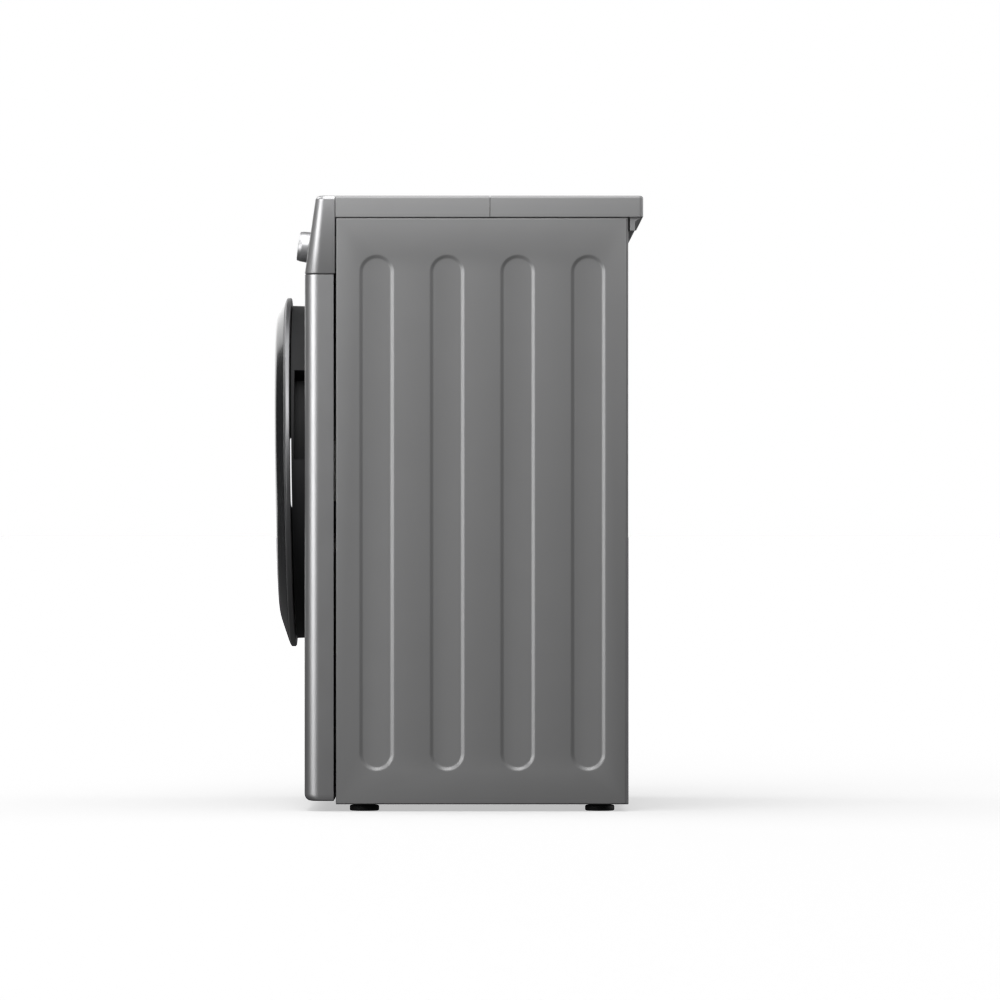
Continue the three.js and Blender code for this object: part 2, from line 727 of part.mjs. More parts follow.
// Skins a closed chain of rings; with caps, the first and last rings are closed by discs instead.
function loft(rings, capped) {
  const n = SEGMENTS;
  const points = rings.flat(2);
  const index = [];
  const last = capped ? rings.length - 1 : rings.length;
  for (let k = 0; k < last; k += 1) {
    const a = k * n;
    const b = ((k + 1) % rings.length) * n;
    for (let i = 0; i < n; i += 1) {
      const j = (i + 1) % n;
      index.push(a + i, a + j, b + i, a + j, b + j, b + i);
    }
  }
  if (capped) {
    const end = (rings.length - 1) * n;
    for (let i = 1; i < n - 1; i += 1) {
      index.push(0, i + 1, i);
      index.push(end, end + i, end + i + 1);
    }
  }
  const geometry = new THREE.BufferGeometry();
  geometry.setAttribute("position", new THREE.Float32BufferAttribute(points, 3));
  geometry.setIndex(index);
  return geometry;
}

// Depth of the door's front surface inside the knee, at a distance from the flat's centre.
function domeY(radius) {
  return KNEE_Y - DOME * (1 - (radius / KNEE_R) ** 2);
}

function hingeNotch(grow) {
  return box(-DOOR_R - 20, NOTCH_X + grow, -80, 60, -NOTCH_HALF - grow, NOTCH_HALF + grow);
}

function doorCoverGeometry() {
  const outer = DOOR_R - RIM_WIDTH - GAP;
  const slopeIn = (KNEE_Y - RIM_FRONT) / (KNEE_R - DOOR_R);
  const edgeY = RIM_FRONT + slopeIn * (outer - DOOR_R);
  const edge = WINDOW_R + GAP;
  const rings = [
    circlePoints(outer, edgeY + COVER),
    circlePoints(outer, edgeY),
    circlePoints(KNEE_R + 2, KNEE_Y + 0.6, KNEE_RISE),
    circlePoints(KNEE_R - 3, domeY(KNEE_R - 3), KNEE_RISE),
    circlePoints(edge, domeY(edge), KNEE_RISE),
    circlePoints(edge, domeY(edge) + COVER, KNEE_RISE),
    circlePoints(KNEE_R - 3, domeY(KNEE_R - 3) + COVER, KNEE_RISE),
    circlePoints(KNEE_R + 1, KNEE_Y + COVER + 0.6, KNEE_RISE),
  ];
  return cut(loft(rings, false), hingeNotch(0));
}

function doorWindowGeometry() {
  const steps = [1, 0.66, 0.33];
  const front = steps.map((s) => circlePoints(WINDOW_R * s, domeY(WINDOW_R * s), KNEE_RISE));
  const rear = circlePoints(WINDOW_R, domeY(WINDOW_R) + COVER, KNEE_RISE);
  return loft([rear, ...front], true);
}

function doorTrimGeometry() {
  const slopeIn = (KNEE_Y - RIM_FRONT) / (KNEE_R - DOOR_R);
  const inner = DOOR_R - RIM_WIDTH;
  const trim = ring([
    [DOOR_R - 1.2, RIM_REAR],
    [inner - 9, RIM_REAR],
    [inner - 9, RIM_REAR - 2],
    [inner, RIM_REAR - 3],
    [inner, RIM_FRONT + slopeIn * -RIM_WIDTH],
    [DOOR_R - 1.2, RIM_FRONT - 0.4],
    [DOOR_R, RIM_FRONT + 0.8],
    [DOOR_R, RIM_REAR - 1],
  ]);
  return cut(trim, hingeNotch(0));
}

function doorFrameGeometry() {
  const wall = COVER;
  const back = FRAME_REAR - wall;
  const body = ring(
    [
      [FRAME_FRONT_R, FRAME_FRONT],
      [FRAME_FRONT_R - 0.6, -1],
      [FRAME_REAR_R, 0],
      [FRAME_REAR_R - 2, FRAME_REAR],
      [FRAME_HOLE_R, FRAME_REAR],
      [FRAME_HOLE_R, back],
      [BOWL_FLANGE_R + 4, back],
      [FRAME_REAR_R - wall - 2, back],
      [FRAME_FRONT_R - wall - 1, FRAME_FRONT],
    ],
    0,
    DOOR_Z,
  );
  // The front edge leans with the cover, so that it keeps one gap to the trim all the way round.
  const place = body.attributes.position;
  for (let i = 0; i < place.count; i += 1) {
    if (place.getY(i) < FRAME_FRONT + 1) {
      place.setY(i, place.getY(i) - (place.getZ(i) - DOOR_Z) * Math.tan(DOOR_TILT));
    }
  }
  const lip = 0.015; // radians of wall left at each end of the pocket
  const blockFront = FRAME_FRONT - (FRAME_FRONT_R * Math.sin(POCKET_FROM) - 1) * Math.tan(DOOR_TILT);
  const block = sector(
    POCKET_FLOOR_R - 3,
    FRAME_REAR_R - 1,
    blockFront,
    back + 1,
    POCKET_FROM - lip,
    POCKET_TO + lip,
    DOOR_Z,
  );
  const pocket = sector(POCKET_FLOOR_R, DOOR_R, FRAME_FRONT + 3, back - 3, POCKET_FROM, POCKET_TO, DOOR_Z);
  const seatLow = DOOR_Z - KNUCKLE_HALF;
  const seatHigh = DOOR_Z + KNUCKLE_HALF;
  const armSeat = box(HINGE_X + 28, HINGE_X + 55, HINGE_Y + 5, back + 1, seatLow, seatHigh);
  const bossHalf = HOOK_HALF + 7;
  const hookBoss = box(HOOK_X - 16, HOOK_X + 10, -6, back + 1, DOOR_Z - bossHalf, DOOR_Z + bossHalf);
  const hookRoom = box(HOOK_X - 6, HOOK_X + 6, -8, 12, DOOR_Z - HOOK_HALF - 0.5, DOOR_Z + HOOK_HALF + 0.5);
  const notch = hingeNotch(0).translate(0, 0, DOOR_Z);
  return cut(join(body, block, armSeat, hookBoss), pocket, hookRoom, notch);
}

function doorBowlGeometry() {
  const seat = FRAME_REAR - COVER - GAP;
  const end = BOWL_REACH;
  const w = BOWL_WALL;
  return turned(
    [
      [BOWL_FLANGE_R, seat],
      [BOWL_R, seat],
      [BOWL_R - 3, end - 16],
      [BOWL_R - 14, end - 4],
      [BOWL_R - 40, end],
      [0, end],
      [0, end - w],
      [BOWL_R - 41, end - w],
      [BOWL_R - 16.5, end - w - 3.5],
      [BOWL_R - w - 3, end - 17],
      [BOWL_R - w, seat - w],
      [BOWL_FLANGE_R, seat - w],
      [BOWL_FLANGE_R, seat],
    ],
    0,
    DOOR_Z,
  );
}

function doorArmGeometry() {
  const knuckle = post(HINGE_R, HINGE_X, HINGE_Y, DOOR_Z - KNUCKLE_HALF + 0.5, DOOR_Z + KNUCKLE_HALF - 0.5);
  const leafHalf = KNUCKLE_HALF - 2;
  const leaf = box(HINGE_X, HINGE_X + 53, HINGE_Y + 1, HINGE_Y + 4.6, DOOR_Z - leafHalf, DOOR_Z + leafHalf);
  const bore = post(HINGE_PIN_R + RUNNING, HINGE_X, HINGE_Y, DOOR_Z - 60, DOOR_Z + 60);
  return cut(join(knuckle, leaf), bore);
}

function hingePlateGeometry() {
  const face = DISH_DEPTH - GAP;
  const plate = box(HINGE_X + 1, HINGE_X + 33, face - 2.5, face, DOOR_Z - HINGE_HALF, DOOR_Z + HINGE_HALF);
  const pin = post(HINGE_PIN_R, HINGE_X, HINGE_Y, DOOR_Z - HINGE_HALF, DOOR_Z + HINGE_HALF);
  const ears = [-1, 1].flatMap((side) => {
    const a = DOOR_Z + side * (KNUCKLE_HALF + 0.5);
    const b = DOOR_Z + side * HINGE_HALF;
    const low = Math.min(a, b);
    const high = Math.max(a, b);
    return [
      post(HINGE_R, HINGE_X, HINGE_Y, low, high),
      box(HINGE_X - 4, HINGE_X + 4, HINGE_Y, face - 1, low, high),
    ];
  });
  return join(plate, pin, ...ears);
}

function doorHookGeometry() {
  const outline = outlineOf([
    [HOOK_X - 4, -3],
    [HOOK_X + 4, -3],
    [HOOK_X + 3, HOOK_REACH - 6],
    [HOOK_X + 1, HOOK_REACH],
    [HOOK_X - 6, HOOK_REACH - 5],
    [HOOK_X - 6, HOOK_REACH - 8],
    [HOOK_X - 2, HOOK_REACH - 8],
    [HOOK_X - 2, 8],
    [HOOK_X - 4, 4],
  ]);
  return raised(outline, DOOR_Z - HOOK_HALF, DOOR_Z + HOOK_HALF);
}

function doorLockGeometry() {
  const front = DISH_DEPTH + SHEET + GAP;
  const body = box(HOOK_X - 16, HOOK_X + 18, front, 46, DOOR_Z - 42, DOOR_Z + 42);
  const room = box(HOOK_X - 11, HOOK_X + 8, front - 1, 38, DOOR_Z - HOOK_HALF - 5, DOOR_Z + HOOK_HALF + 5);
  return cut(body, room);
}

function gasketGeometry() {
  const clip = MOUTH_R - GAP;
  const tub = TUB_MOUTH_R + 3 + GAP;
  return ring(
    [
      [clip, DISH_DEPTH + 1],
      [clip - 3, DISH_DEPTH + 1],
      [clip - 4, 29],
      [BOWL_R + 3, 34],
      [BOWL_R + 1, 40],
      [BOWL_R + 4, 40],
      [clip + 1, 36],
      [clip + 3, 46],
      [tub, 50],
      [tub, TUB_FRONT - GAP],
      [tub + 3, TUB_FRONT - GAP],
      [tub + 3.5, 53],
      [clip + 9, 48],
      [clip + 5, 31],
      [clip, 28],
    ],
    0,
    DOOR_Z,
  );
}

// ---------------------------------------------------------------- tub and drum
function tubFrontGeometry() {
  return ring(
    [
      [TUB_MOUTH_R, 51],
      [TUB_MOUTH_R, TUB_FRONT + TUB_WALL],
      [TUB_R - TUB_WALL - 6, TUB_FRONT + TUB_WALL],
      [TUB_R - TUB_WALL, TUB_FRONT + TUB_WALL + 6],
      [TUB_R - TUB_WALL, TUB_SPLIT],
      [TUB_R + TUB_FLANGE, TUB_SPLIT],
      [TUB_R + TUB_FLANGE, TUB_SPLIT - 5],
      [TUB_R, TUB_SPLIT - 5],
      [TUB_R, TUB_FRONT + 6],
      [TUB_R - 6, TUB_FRONT],
      [TUB_MOUTH_R + 3, TUB_FRONT],
      [TUB_MOUTH_R + 3, 51],
    ],
    0,
    TUB_Z,
  );
}

const HEATER_X = 18;
const HEATER_Z = TUB_Z - (DRUM_R + TUB_R - TUB_WALL) / 2;
function tubRearGeometry() {
  const start = TUB_SPLIT + GAP;
  const bell = ring(
    [
      [TUB_R + TUB_FLANGE, start],
      [TUB_R - TUB_WALL, start],
      [TUB_R - TUB_WALL, TUB_REAR - 10],
      [TUB_R - TUB_WALL - 6, TUB_REAR - TUB_WALL],
      [HUB_R, TUB_REAR - TUB_WALL],
      [HUB_R, TUB_REAR - 12],
      [SHAFT_R + RUNNING, TUB_REAR - 12],
      [SHAFT_R + RUNNING, TUB_REAR + 26],
      [HUB_R, TUB_REAR + 26],
      [HUB_R, TUB_REAR],
      [TUB_R - 6, TUB_REAR],
      [TUB_R, TUB_REAR - 6],
      [TUB_R, start + 5],
      [TUB_R + TUB_FLANGE, start + 5],
    ],
    0,
    TUB_Z,
  );
  const lugs = [-1, 1].flatMap((side) => [
    box(
      Math.min(side * (DAMPER_X - 9), side * (DAMPER_X + 9)),
      Math.max(side * (DAMPER_X - 9), side * (DAMPER_X + 9)),
      DAMPER_Y - 10,
      DAMPER_Y + 10,
      236,
      262,
    ),
    box(
      Math.min(side * (SPRING_X - 12), side * (SPRING_X + 10)),
      Math.max(side * (SPRING_X - 12), side * (SPRING_X + 10)),
      SPRING_Y - 8,
      SPRING_Y + 8,
      TUB_Z + Math.sqrt((TUB_R - 1) ** 2 - (SPRING_X - 12) ** 2) - 8,
      SPRING_LOW - GAP,
    ),
  ]);
  const legs = [-1, 1].map((side) => rod(5, TUB_REAR - 20, TUB_REAR + 10, side * HEATER_X, HEATER_Z, 16));
  const inside = rod(TUB_R - TUB_WALL, start + 0.1, TUB_REAR - 10, 0, TUB_Z);
  const sparge = cut(join(bell, ...lugs), inside, ...legs);
  return sparge;
}

function drumShellGeometry() {
  return ring(
    [
      [DRUM_MOUTH_R, DRUM_FRONT - 3],
      [DRUM_MOUTH_R, DRUM_FRONT + SHEET],
      [DRUM_R - SHEET - 12, DRUM_FRONT + SHEET],
      [DRUM_R - SHEET, DRUM_FRONT + 12],
      [DRUM_R - SHEET, DRUM_REAR - 6],
      [DRUM_R - SHEET - 4, DRUM_REAR - SHEET],
      [30, DRUM_REAR - SHEET],
      [30, DRUM_REAR],
      [DRUM_R - 5, DRUM_REAR],
      [DRUM_R, DRUM_REAR - 6],
      [DRUM_R, DRUM_FRONT + 12],
      [DRUM_R - 12, DRUM_FRONT],
      [DRUM_MOUTH_R + SHEET, DRUM_FRONT],
      [DRUM_MOUTH_R + SHEET, DRUM_FRONT - 3],
    ],
    0,
    TUB_Z,
  );
}

// A lifter: a rounded wedge on the drum's wall, running along its depth.
function baffleGeometry(index) {
  const base = DRUM_R - SHEET - 3.5; // the wall is faceted, so the foot stays a little inside it
  const shape = new THREE.Shape();
  shape.moveTo(base, -30);
  shape.lineTo(base, 30);
  shape.quadraticCurveTo(base - 12, 14, base - BAFFLE_HEIGHT + 6, 8);
  shape.quadraticCurveTo(base - BAFFLE_HEIGHT, 0, base - BAFFLE_HEIGHT + 6, -8);
  shape.quadraticCurveTo(base - 12, -14, base, -30);
  const geometry = alongY(shape, DRUM_FRONT + 24, DRUM_REAR - 24);
  return geometry.rotateY(-(Math.PI / 2 + (index * 2 * Math.PI) / BAFFLES)).translate(0, 0, TUB_Z);
}

function spiderGeometry() {
  const front = DRUM_REAR + GAP;
  const hub = rod(36, front, front + 8, 0, TUB_Z, 32);
  const shaft = rod(SHAFT_R, front, ROTOR_REAR - 1, 0, TUB_Z);
  const arms = Array.from({ length: BAFFLES }, (_, i) => {
    const arm = box(-14, 14, front, front + 8, 20, DRUM_R - 12);
    return arm.rotateY((i * 2 * Math.PI) / BAFFLES).translate(0, 0, TUB_Z);
  });
  return join(hub, shaft, ...arms);
}

function statorGeometry() {
  const teeth = 24;
  const shape = new THREE.Shape();
  for (let i = 0; i < teeth; i += 1) {
    const a = (i * 2 * Math.PI) / teeth;
    const w = Math.PI / teeth;
    const tooth = [[84, -0.9], [84, -0.45], [STATOR_R, -0.7], [STATOR_R, 0.7], [84, 0.45], [84, 0.9]];
    tooth.forEach(([r, t], k) => {
      const x = r * Math.cos(a + t * w);
      const z = r * Math.sin(a + t * w);
      if (i === 0 && k === 0) shape.moveTo(x, z);
      else shape.lineTo(x, z);
    });
  }
  shape.closePath();
  const hole = Array.from({ length: SEGMENTS }, (_, i) => {
    const a = (-i * 2 * Math.PI) / SEGMENTS;
    return new THREE.Vector2((HUB_R + GAP) * Math.cos(a), (HUB_R + GAP) * Math.sin(a));
  });
  shape.holes.push(new THREE.Path(hole));
  return alongY(shape, TUB_REAR + GAP, TUB_REAR + 30).translate(0, 0, TUB_Z);
}

function rotorGeometry() {
  const inner = STATOR_R + AIR_GAP;
  const outer = inner + ROTOR_WALL;
  const bore = SHAFT_R + GAP;
  return ring(
    [
      [outer, TUB_REAR + 6],
      [inner, TUB_REAR + 6],
      [inner, ROTOR_REAR - 6],
      [bore + 12, ROTOR_REAR - 6],
      [bore + 12, ROTOR_REAR - 14],
      [bore, ROTOR_REAR - 14],
      [bore, ROTOR_REAR],
      [outer, ROTOR_REAR],
    ],
    0,
    TUB_Z,
  );
}

function heaterGeometry() {
  const front = 200;
  const plate = TUB_REAR + GAP;
  const legs = [-1, 1].map((side) => rod(4, front, plate + 2, side * HEATER_X, HEATER_Z, 12));
  const bend = new THREE.CylinderGeometry(4, 4, 2 * HEATER_X + 4, 12);
  bend.rotateZ(Math.PI / 2).translate(0, front, HEATER_Z);
  const flange = box(-34, 34, plate, plate + 4, HEATER_Z - 8, HEATER_Z + 8);
  const tabs = [-22, 22].map((x) => box(x - 2, x + 2, plate + 3, plate + 14, HEATER_Z - 4, HEATER_Z + 4));
  return join(flange, bend, ...legs, ...tabs);
}

function counterweightGeometry() {
  const from = THREE.MathUtils.degToRad(205);
  const to = THREE.MathUtils.degToRad(335);
  return sector(MOUTH_R + 12, TUB_R - 5, 34, TUB_FRONT - GAP, from, to, TUB_Z);
}

// ---------------------------------------------------------------- suspension
const DAMPER_TOP = 150;
function damperCylinderGeometry(side) {
  const x = side * DAMPER_X;
  const z = CABINET_BOTTOM + SHEET + 2 * GAP + 2;
  const foot = box(x - 16, x + 16, DAMPER_Y - 14, DAMPER_Y + 14, z, z + 6);
  return cut(
    join(foot, post(13, x, DAMPER_Y, z + 1, DAMPER_TOP)),
    post(6.5, x, DAMPER_Y, z + 14, DAMPER_TOP + 1),
  );
}

function damperRodGeometry(side) {
  const x = side * DAMPER_X;
  const pin = post(5, x, DAMPER_Y, 62, 232, 16);
  return join(pin, box(x - 8, x + 8, DAMPER_Y - 8, DAMPER_Y + 8, 222, 236 - GAP));
}

class Helix extends THREE.Curve {
  constructor(x, y, radius, z0, z1, turns) {
    super();
    Object.assign(this, { x, y, radius, z0, z1, turns });
  }

  getPoint(t, target = new THREE.Vector3()) {
    const a = t * this.turns * 2 * Math.PI;
    const z = this.z0 + t * (this.z1 - this.z0);
    return target.set(this.x + this.radius * Math.cos(a), this.y + this.radius * Math.sin(a), z);
  }
}

function springGeometry(side) {
  const turns = 7;
  const wire = outlineOf(
    [0, 1, 2, 3, 4].map((k) => {
      const a = (k / 5) * 2 * Math.PI;
      return [SPRING_WIRE * Math.cos(a), SPRING_WIRE * Math.sin(a)];
    }),
  );
  const low = SPRING_LOW + SPRING_WIRE + 1;
  const path = new Helix(side * SPRING_X, SPRING_Y, SPRING_R, low, SPRING_HIGH - SPRING_WIRE, turns);
  return new THREE.ExtrudeGeometry(wire, { steps: turns * 7, extrudePath: path });
}

// ---------------------------------------------------------------- drying, pump and services
function dryingDuctGeometry() {
  const w = DUCT_WALL;
  const top = FAN_Z + 44;
  const volute = (grow) => post(FAN_R + 10 + grow, FAN_X, FAN_Y, FAN_Z - grow, top + grow, 32);
  const left = FAN_X - 34;
  const right = FAN_X + 34;
  const run = (grow) => box(left - grow, right + grow, 112 - grow, FAN_Y, FAN_Z - grow, top + grow);
  const drop = (grow, low) => box(left - grow, right + grow, 112 - grow, 140 + grow, low, top + grow);
  const outer = join(volute(0), run(0), drop(0, FAN_Z - 5));
  const inner = join(volute(-w), run(-w), drop(-w, FAN_Z - 6));
  const intake = post(30, FAN_X, FAN_Y, FAN_Z - 6, FAN_Z + 6, 24);
  const motor = post(24, FAN_X, FAN_Y, top - 1, top + 20, 24);
  const bore = post(4 + RUNNING, FAN_X, FAN_Y, top - 8, top + 14, 16);
  return cut(join(cut(outer, inner, intake), motor), bore);
}

function dryingFanGeometry() {
  const low = FAN_Z + 6;
  const disc = post(FAN_R, FAN_X, FAN_Y, low + 26, low + 29, 32);
  const hub = post(10, FAN_X, FAN_Y, low + 4, low + 29);
  const shaft = post(4, FAN_X, FAN_Y, low + 20, FAN_Z + 44 + 12, 16);
  const blades = Array.from({ length: 9 }, (_, i) => {
    const blade = box(14, FAN_R - 2, -1, 1, 0, 28);
    blade.rotateZ(0.5).rotateZ((i * 2 * Math.PI) / 9);
    return blade.translate(FAN_X, FAN_Y, low);
  });
  const collar = cut(post(16, FAN_X, FAN_Y, low + 20, low + 29), post(9, FAN_X, FAN_Y, low + 19, low + 30));
  return join(disc, hub, shaft, collar, ...blades);
}

function pumpHousingGeometry() {
  return turned(
    [
      [PUMP_R, 46],
      [FILTER_R, 46],
      [FILTER_R, 118],
      [24, 120],
      [24, 142],
      [4 + RUNNING, 142],
      [4 + RUNNING, 170],
      [0, 170],
      [0, 192],
      [27, 192],
      [27, 152],
      [PUMP_R, 144],
      [PUMP_R, 46],
    ],
    FLAP_X,
    FLAP_Z,
    32,
  );
}

function impellerGeometry() {
  const hub = rod(7, 123, 139, FLAP_X, FLAP_Z, 16);
  const shaft = rod(4, 130, 166, FLAP_X, FLAP_Z, 16);
  const blades = [0, 1].map((i) => {
    const blade = box(-20, 20, 123, 137, -1.5, 1.5);
    return blade.rotateY((i * Math.PI) / 2).translate(FLAP_X, 0, FLAP_Z);
  });
  return join(hub, shaft, ...blades);
}

function filterCapGeometry() {
  const plug = turned(
    [
      [0, 30],
      [PUMP_R - 4, 30],
      [PUMP_R - 4, 45.4],
      [FILTER_R - 1, 45.4],
      [FILTER_R - 1, 70],
      [0, 70],
    ],
    FLAP_X,
    FLAP_Z,
    32,
  );
  return join(plug, box(FLAP_X - 26, FLAP_X + 26, 12, 31, FLAP_Z - 5, FLAP_Z + 5));
}

function filterFlapGeometry() {
  const plate = box(FLAP_X - FLAP_HALF, FLAP_X + FLAP_HALF, 0, 2.5, FLAP_Z - FLAP_HALF, FLAP_Z + FLAP_HALF);
  const grip = box(FLAP_X - 16, FLAP_X + 16, -1, 1.4, FLAP_Z + FLAP_HALF - 12, FLAP_Z + FLAP_HALF + 1);
  return cut(plate, grip);
}

function inletValveGeometry() {
  const body = box(INLET.x - 18, INLET.x + 18, 384, 416, INLET.z - 16, INLET.z + 16);
  const coil = box(INLET.x - 12, INLET.x + 12, 372, 385, INLET.z - 12, INLET.z + 12);
  const spigot = rod(10, 415, SIDE_REAR - 2, INLET.x, INLET.z, 24);
  const plate = box(INLET.x - 22, INLET.x + 22, 416, 419, INLET.z - 22, INLET.z + 22);
  return cut(join(body, coil, spigot, plate), rod(7, 425, SIDE_REAR + 1, INLET.x, INLET.z, 20));
}

function glandGeometry() {
  const y = REAR_PANEL_Y;
  return ring(
    [
      [GLAND.radius - GAP, y - 12],
      [4, y - 12],
      [4, y + 3.4],
      [GLAND.radius + 2, y + 3.4],
      [GLAND.radius + 3, y + GAP],
      [GLAND.radius - GAP, y + GAP],
    ],
    GLAND.x,
    GLAND.z,
    24,
  );
}

function drainGeometry() {
  const y = REAR_PANEL_Y;
  return ring(
    [
      [DRAIN.radius + 3.4, y - 30],
      [DRAIN.radius - 3, y - 30],
      [DRAIN.radius - 3, y + 3.4],
      [DRAIN.radius, y + 3.4],
      [DRAIN.radius + 0.5, y + GAP],
      [DRAIN.radius + 7, y + GAP + 1.4],
      [DRAIN.radius + 7, y + GAP],
      [DRAIN.radius + 3.4, y + GAP],
    ],
    DRAIN.x,
    DRAIN.z,
    24,
  );
}

// ---------------------------------------------------------------- assembly
const side = sidePanelGeometry();
part("side_panel_right", side, "steel");
part("side_panel_left", mirrored(side), "steel");
part("rear_panel", rearPanelGeometry(), "zinc");
part("rear_service_cover", rearCoverGeometry(), "zinc");
part("base_tray", baseTrayGeometry(), "zinc");
part("lid_front_frame", lidFrontGeometry(), "lid");
part("lid_rear_frame", lidRearGeometry(), "lid");
part("lid_board", lidBoardGeometry(), "lid");
part("front_panel", frontPanelGeometry(), "front");
part("control_panel", controlPanelGeometry(), "front");
part("display_window", displayGeometry(), "gloss", slope);
part("control_board", controlBoardGeometry(), "white", slope);
part("dial_knob", knobGeometry(), "metal", slope);
for (const button of BUTTONS) part(button.name, buttonGeometry(button), "metal", slope);

part("dispenser_housing", housingGeometry(), "white");
part("drawer_tray", drawerTrayGeometry(), "white");
part("drawer_front", drawerFrontGeometry(), "front");

part("door_outer_cover", doorCoverGeometry(), "gloss", doorFrame);
part("door_window", doorWindowGeometry(), "gloss", doorFrame);
part("door_trim_ring", doorTrimGeometry(), "satin", doorFrame);
part("door_inner_frame", doorFrameGeometry(), "matt");
part("door_glass_bowl", doorBowlGeometry(), "glass");
part("door_hinge_arm", doorArmGeometry(), "zinc");
part("door_hinge_plate", hingePlateGeometry(), "zinc");
part("door_hook", doorHookGeometry(), "zinc");
part("door_lock", doorLockGeometry(), "white");
part("door_gasket", gasketGeometry(), "rubber");

part("tub_front", tubFrontGeometry(), "white");
part("tub_rear", tubRearGeometry(), "white");
part("counterweight", counterweightGeometry(), "concrete");
part("heater", heaterGeometry(), "stainless");
part("stator", statorGeometry(), "copper");
part("drum_shell", drumShellGeometry(), "stainless");
for (let i = 0; i < BAFFLES; i += 1) part(`drum_baffle_${i + 1}`, baffleGeometry(i), "white");
part("drum_spider", spiderGeometry(), "zinc");
part("rotor", rotorGeometry(), "zinc");

for (const [word, sign] of [["left", -1], ["right", 1]]) {
  part(`damper_cylinder_${word}`, damperCylinderGeometry(sign), "matt");
  part(`damper_rod_${word}`, damperRodGeometry(sign), "metal");
  part(`suspension_spring_${word}`, springGeometry(sign), "zinc");
}

part("drying_duct", dryingDuctGeometry(), "zinc");
part("drying_fan", dryingFanGeometry(), "matt");
part("drain_pump_housing", pumpHousingGeometry(), "white");
part("pump_impeller", impellerGeometry(), "matt");
part("filter_cap", filterCapGeometry(), "matt");
part("filter_flap", filterFlapGeometry(), "front");
part("inlet_valve", inletValveGeometry(), "white");
part("mains_gland", glandGeometry(), "matt");
part("drain_outlet", drainGeometry(), "matt");
footPlaces().forEach(([x, y], i) => part(`levelling_foot_${i + 1}`, footGeometry(x, y), "matt"));

machine.position.y = (DOOR_FRONT - DEPTH) / 2;

export default machine;
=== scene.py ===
# %% [markdown]
# # A slim washer dryer, from its frame to its finish
# The machine is a painted steel cabinet with a big round door on the front, a sloped control panel above
# it and a moulded lid. The mechanical model gives every piece its size, place and movement. This lesson
# keeps that frame still and gives it rounded pressings, fine mouldings and real finishes.

# %% Load the fixed frame
import json
import math

import bmesh
import bpy
from mathutils import Matrix, Vector


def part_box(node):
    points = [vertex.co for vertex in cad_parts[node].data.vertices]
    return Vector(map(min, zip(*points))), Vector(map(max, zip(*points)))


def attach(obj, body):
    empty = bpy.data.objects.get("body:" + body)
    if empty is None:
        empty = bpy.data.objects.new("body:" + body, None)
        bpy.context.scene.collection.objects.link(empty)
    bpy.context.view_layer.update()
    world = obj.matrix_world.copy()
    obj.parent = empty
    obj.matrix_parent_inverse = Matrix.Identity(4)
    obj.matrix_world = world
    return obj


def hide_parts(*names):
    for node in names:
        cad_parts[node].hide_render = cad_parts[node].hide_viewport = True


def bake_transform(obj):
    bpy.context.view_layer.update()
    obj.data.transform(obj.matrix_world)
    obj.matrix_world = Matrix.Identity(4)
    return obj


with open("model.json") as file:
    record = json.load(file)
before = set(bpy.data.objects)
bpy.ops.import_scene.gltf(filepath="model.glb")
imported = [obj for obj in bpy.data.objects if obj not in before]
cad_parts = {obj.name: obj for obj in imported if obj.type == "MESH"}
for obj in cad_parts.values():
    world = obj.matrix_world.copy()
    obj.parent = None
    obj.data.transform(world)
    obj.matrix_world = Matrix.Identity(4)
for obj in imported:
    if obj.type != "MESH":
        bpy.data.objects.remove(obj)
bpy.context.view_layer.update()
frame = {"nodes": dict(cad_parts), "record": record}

record = frame["record"]
SLOT_OF = {part["node"]: part["material_slot"] for part in record["subparts"]}
BODY_OF = {node: body for body, nodes in record["behaviour"]["bodies"].items() for node in nodes}

# %% [markdown]
# ## Measures
# Sheet metal and mouldings are drawn in millimetres, with depth counted from the front panel, because
# every pressing is dimensioned from that face. Blender works in metres, so one function changes over.

# %% Millimetres, and depth behind the front panel
MM = 0.001
PANEL_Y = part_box("front_panel")[0].y


def span(node):
    """Lowest and highest corner of a frame piece in mm: across, depth behind the panel, height."""
    low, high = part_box(node)
    shift = Vector((0, PANEL_Y, 0))
    return (low - shift) / MM, (high - shift) / MM


def metres(x, y, z):
    return (x * MM, PANEL_Y + y * MM, z * MM)


def link(name, data):
    """A new object in the scene that holds this mesh, light or camera."""
    made = bpy.data.objects.new(name, data)
    bpy.context.scene.collection.objects.link(made)
    return made


lid_high = span("lid_rear_frame")[1]
side_low, side_high = span("side_panel_right")
front_low, front_high = span("front_panel")
control_low, control_high = span("control_panel")
HALF = lid_high.x
HEIGHT = lid_high.z
DEPTH = lid_high.y
SHEET = 1.2
print("cabinet", round(2 * HALF), "x", round(DEPTH), "x", round(HEIGHT), "mm")

# %% [markdown]
# ## Shader sums as plain expressions
# A finish is arithmetic on patterns, such as 0.4 + 0.1 * grain. Wiring each sum by hand hides that, so
# a small class wraps a socket and lets Python's own operators add the Math nodes.

# %% A socket that can be added, multiplied and mixed
class Socket:
    def __init__(self, tree, plug):
        self.tree = tree
        self.plug = plug

    def sum(self, operation, first, second):
        return self.tree.add("ShaderNodeMath", {"operation": operation}, {0: first, 1: second})

    def __add__(self, other):
        return self.sum("ADD", self, other)

    def __sub__(self, other):
        return self.sum("SUBTRACT", self, other)

    def __rsub__(self, other):
        return self.sum("SUBTRACT", other, self)

    def __mul__(self, other):
        return self.sum("MULTIPLY", self, other)

    __radd__ = __add__
    __rmul__ = __mul__


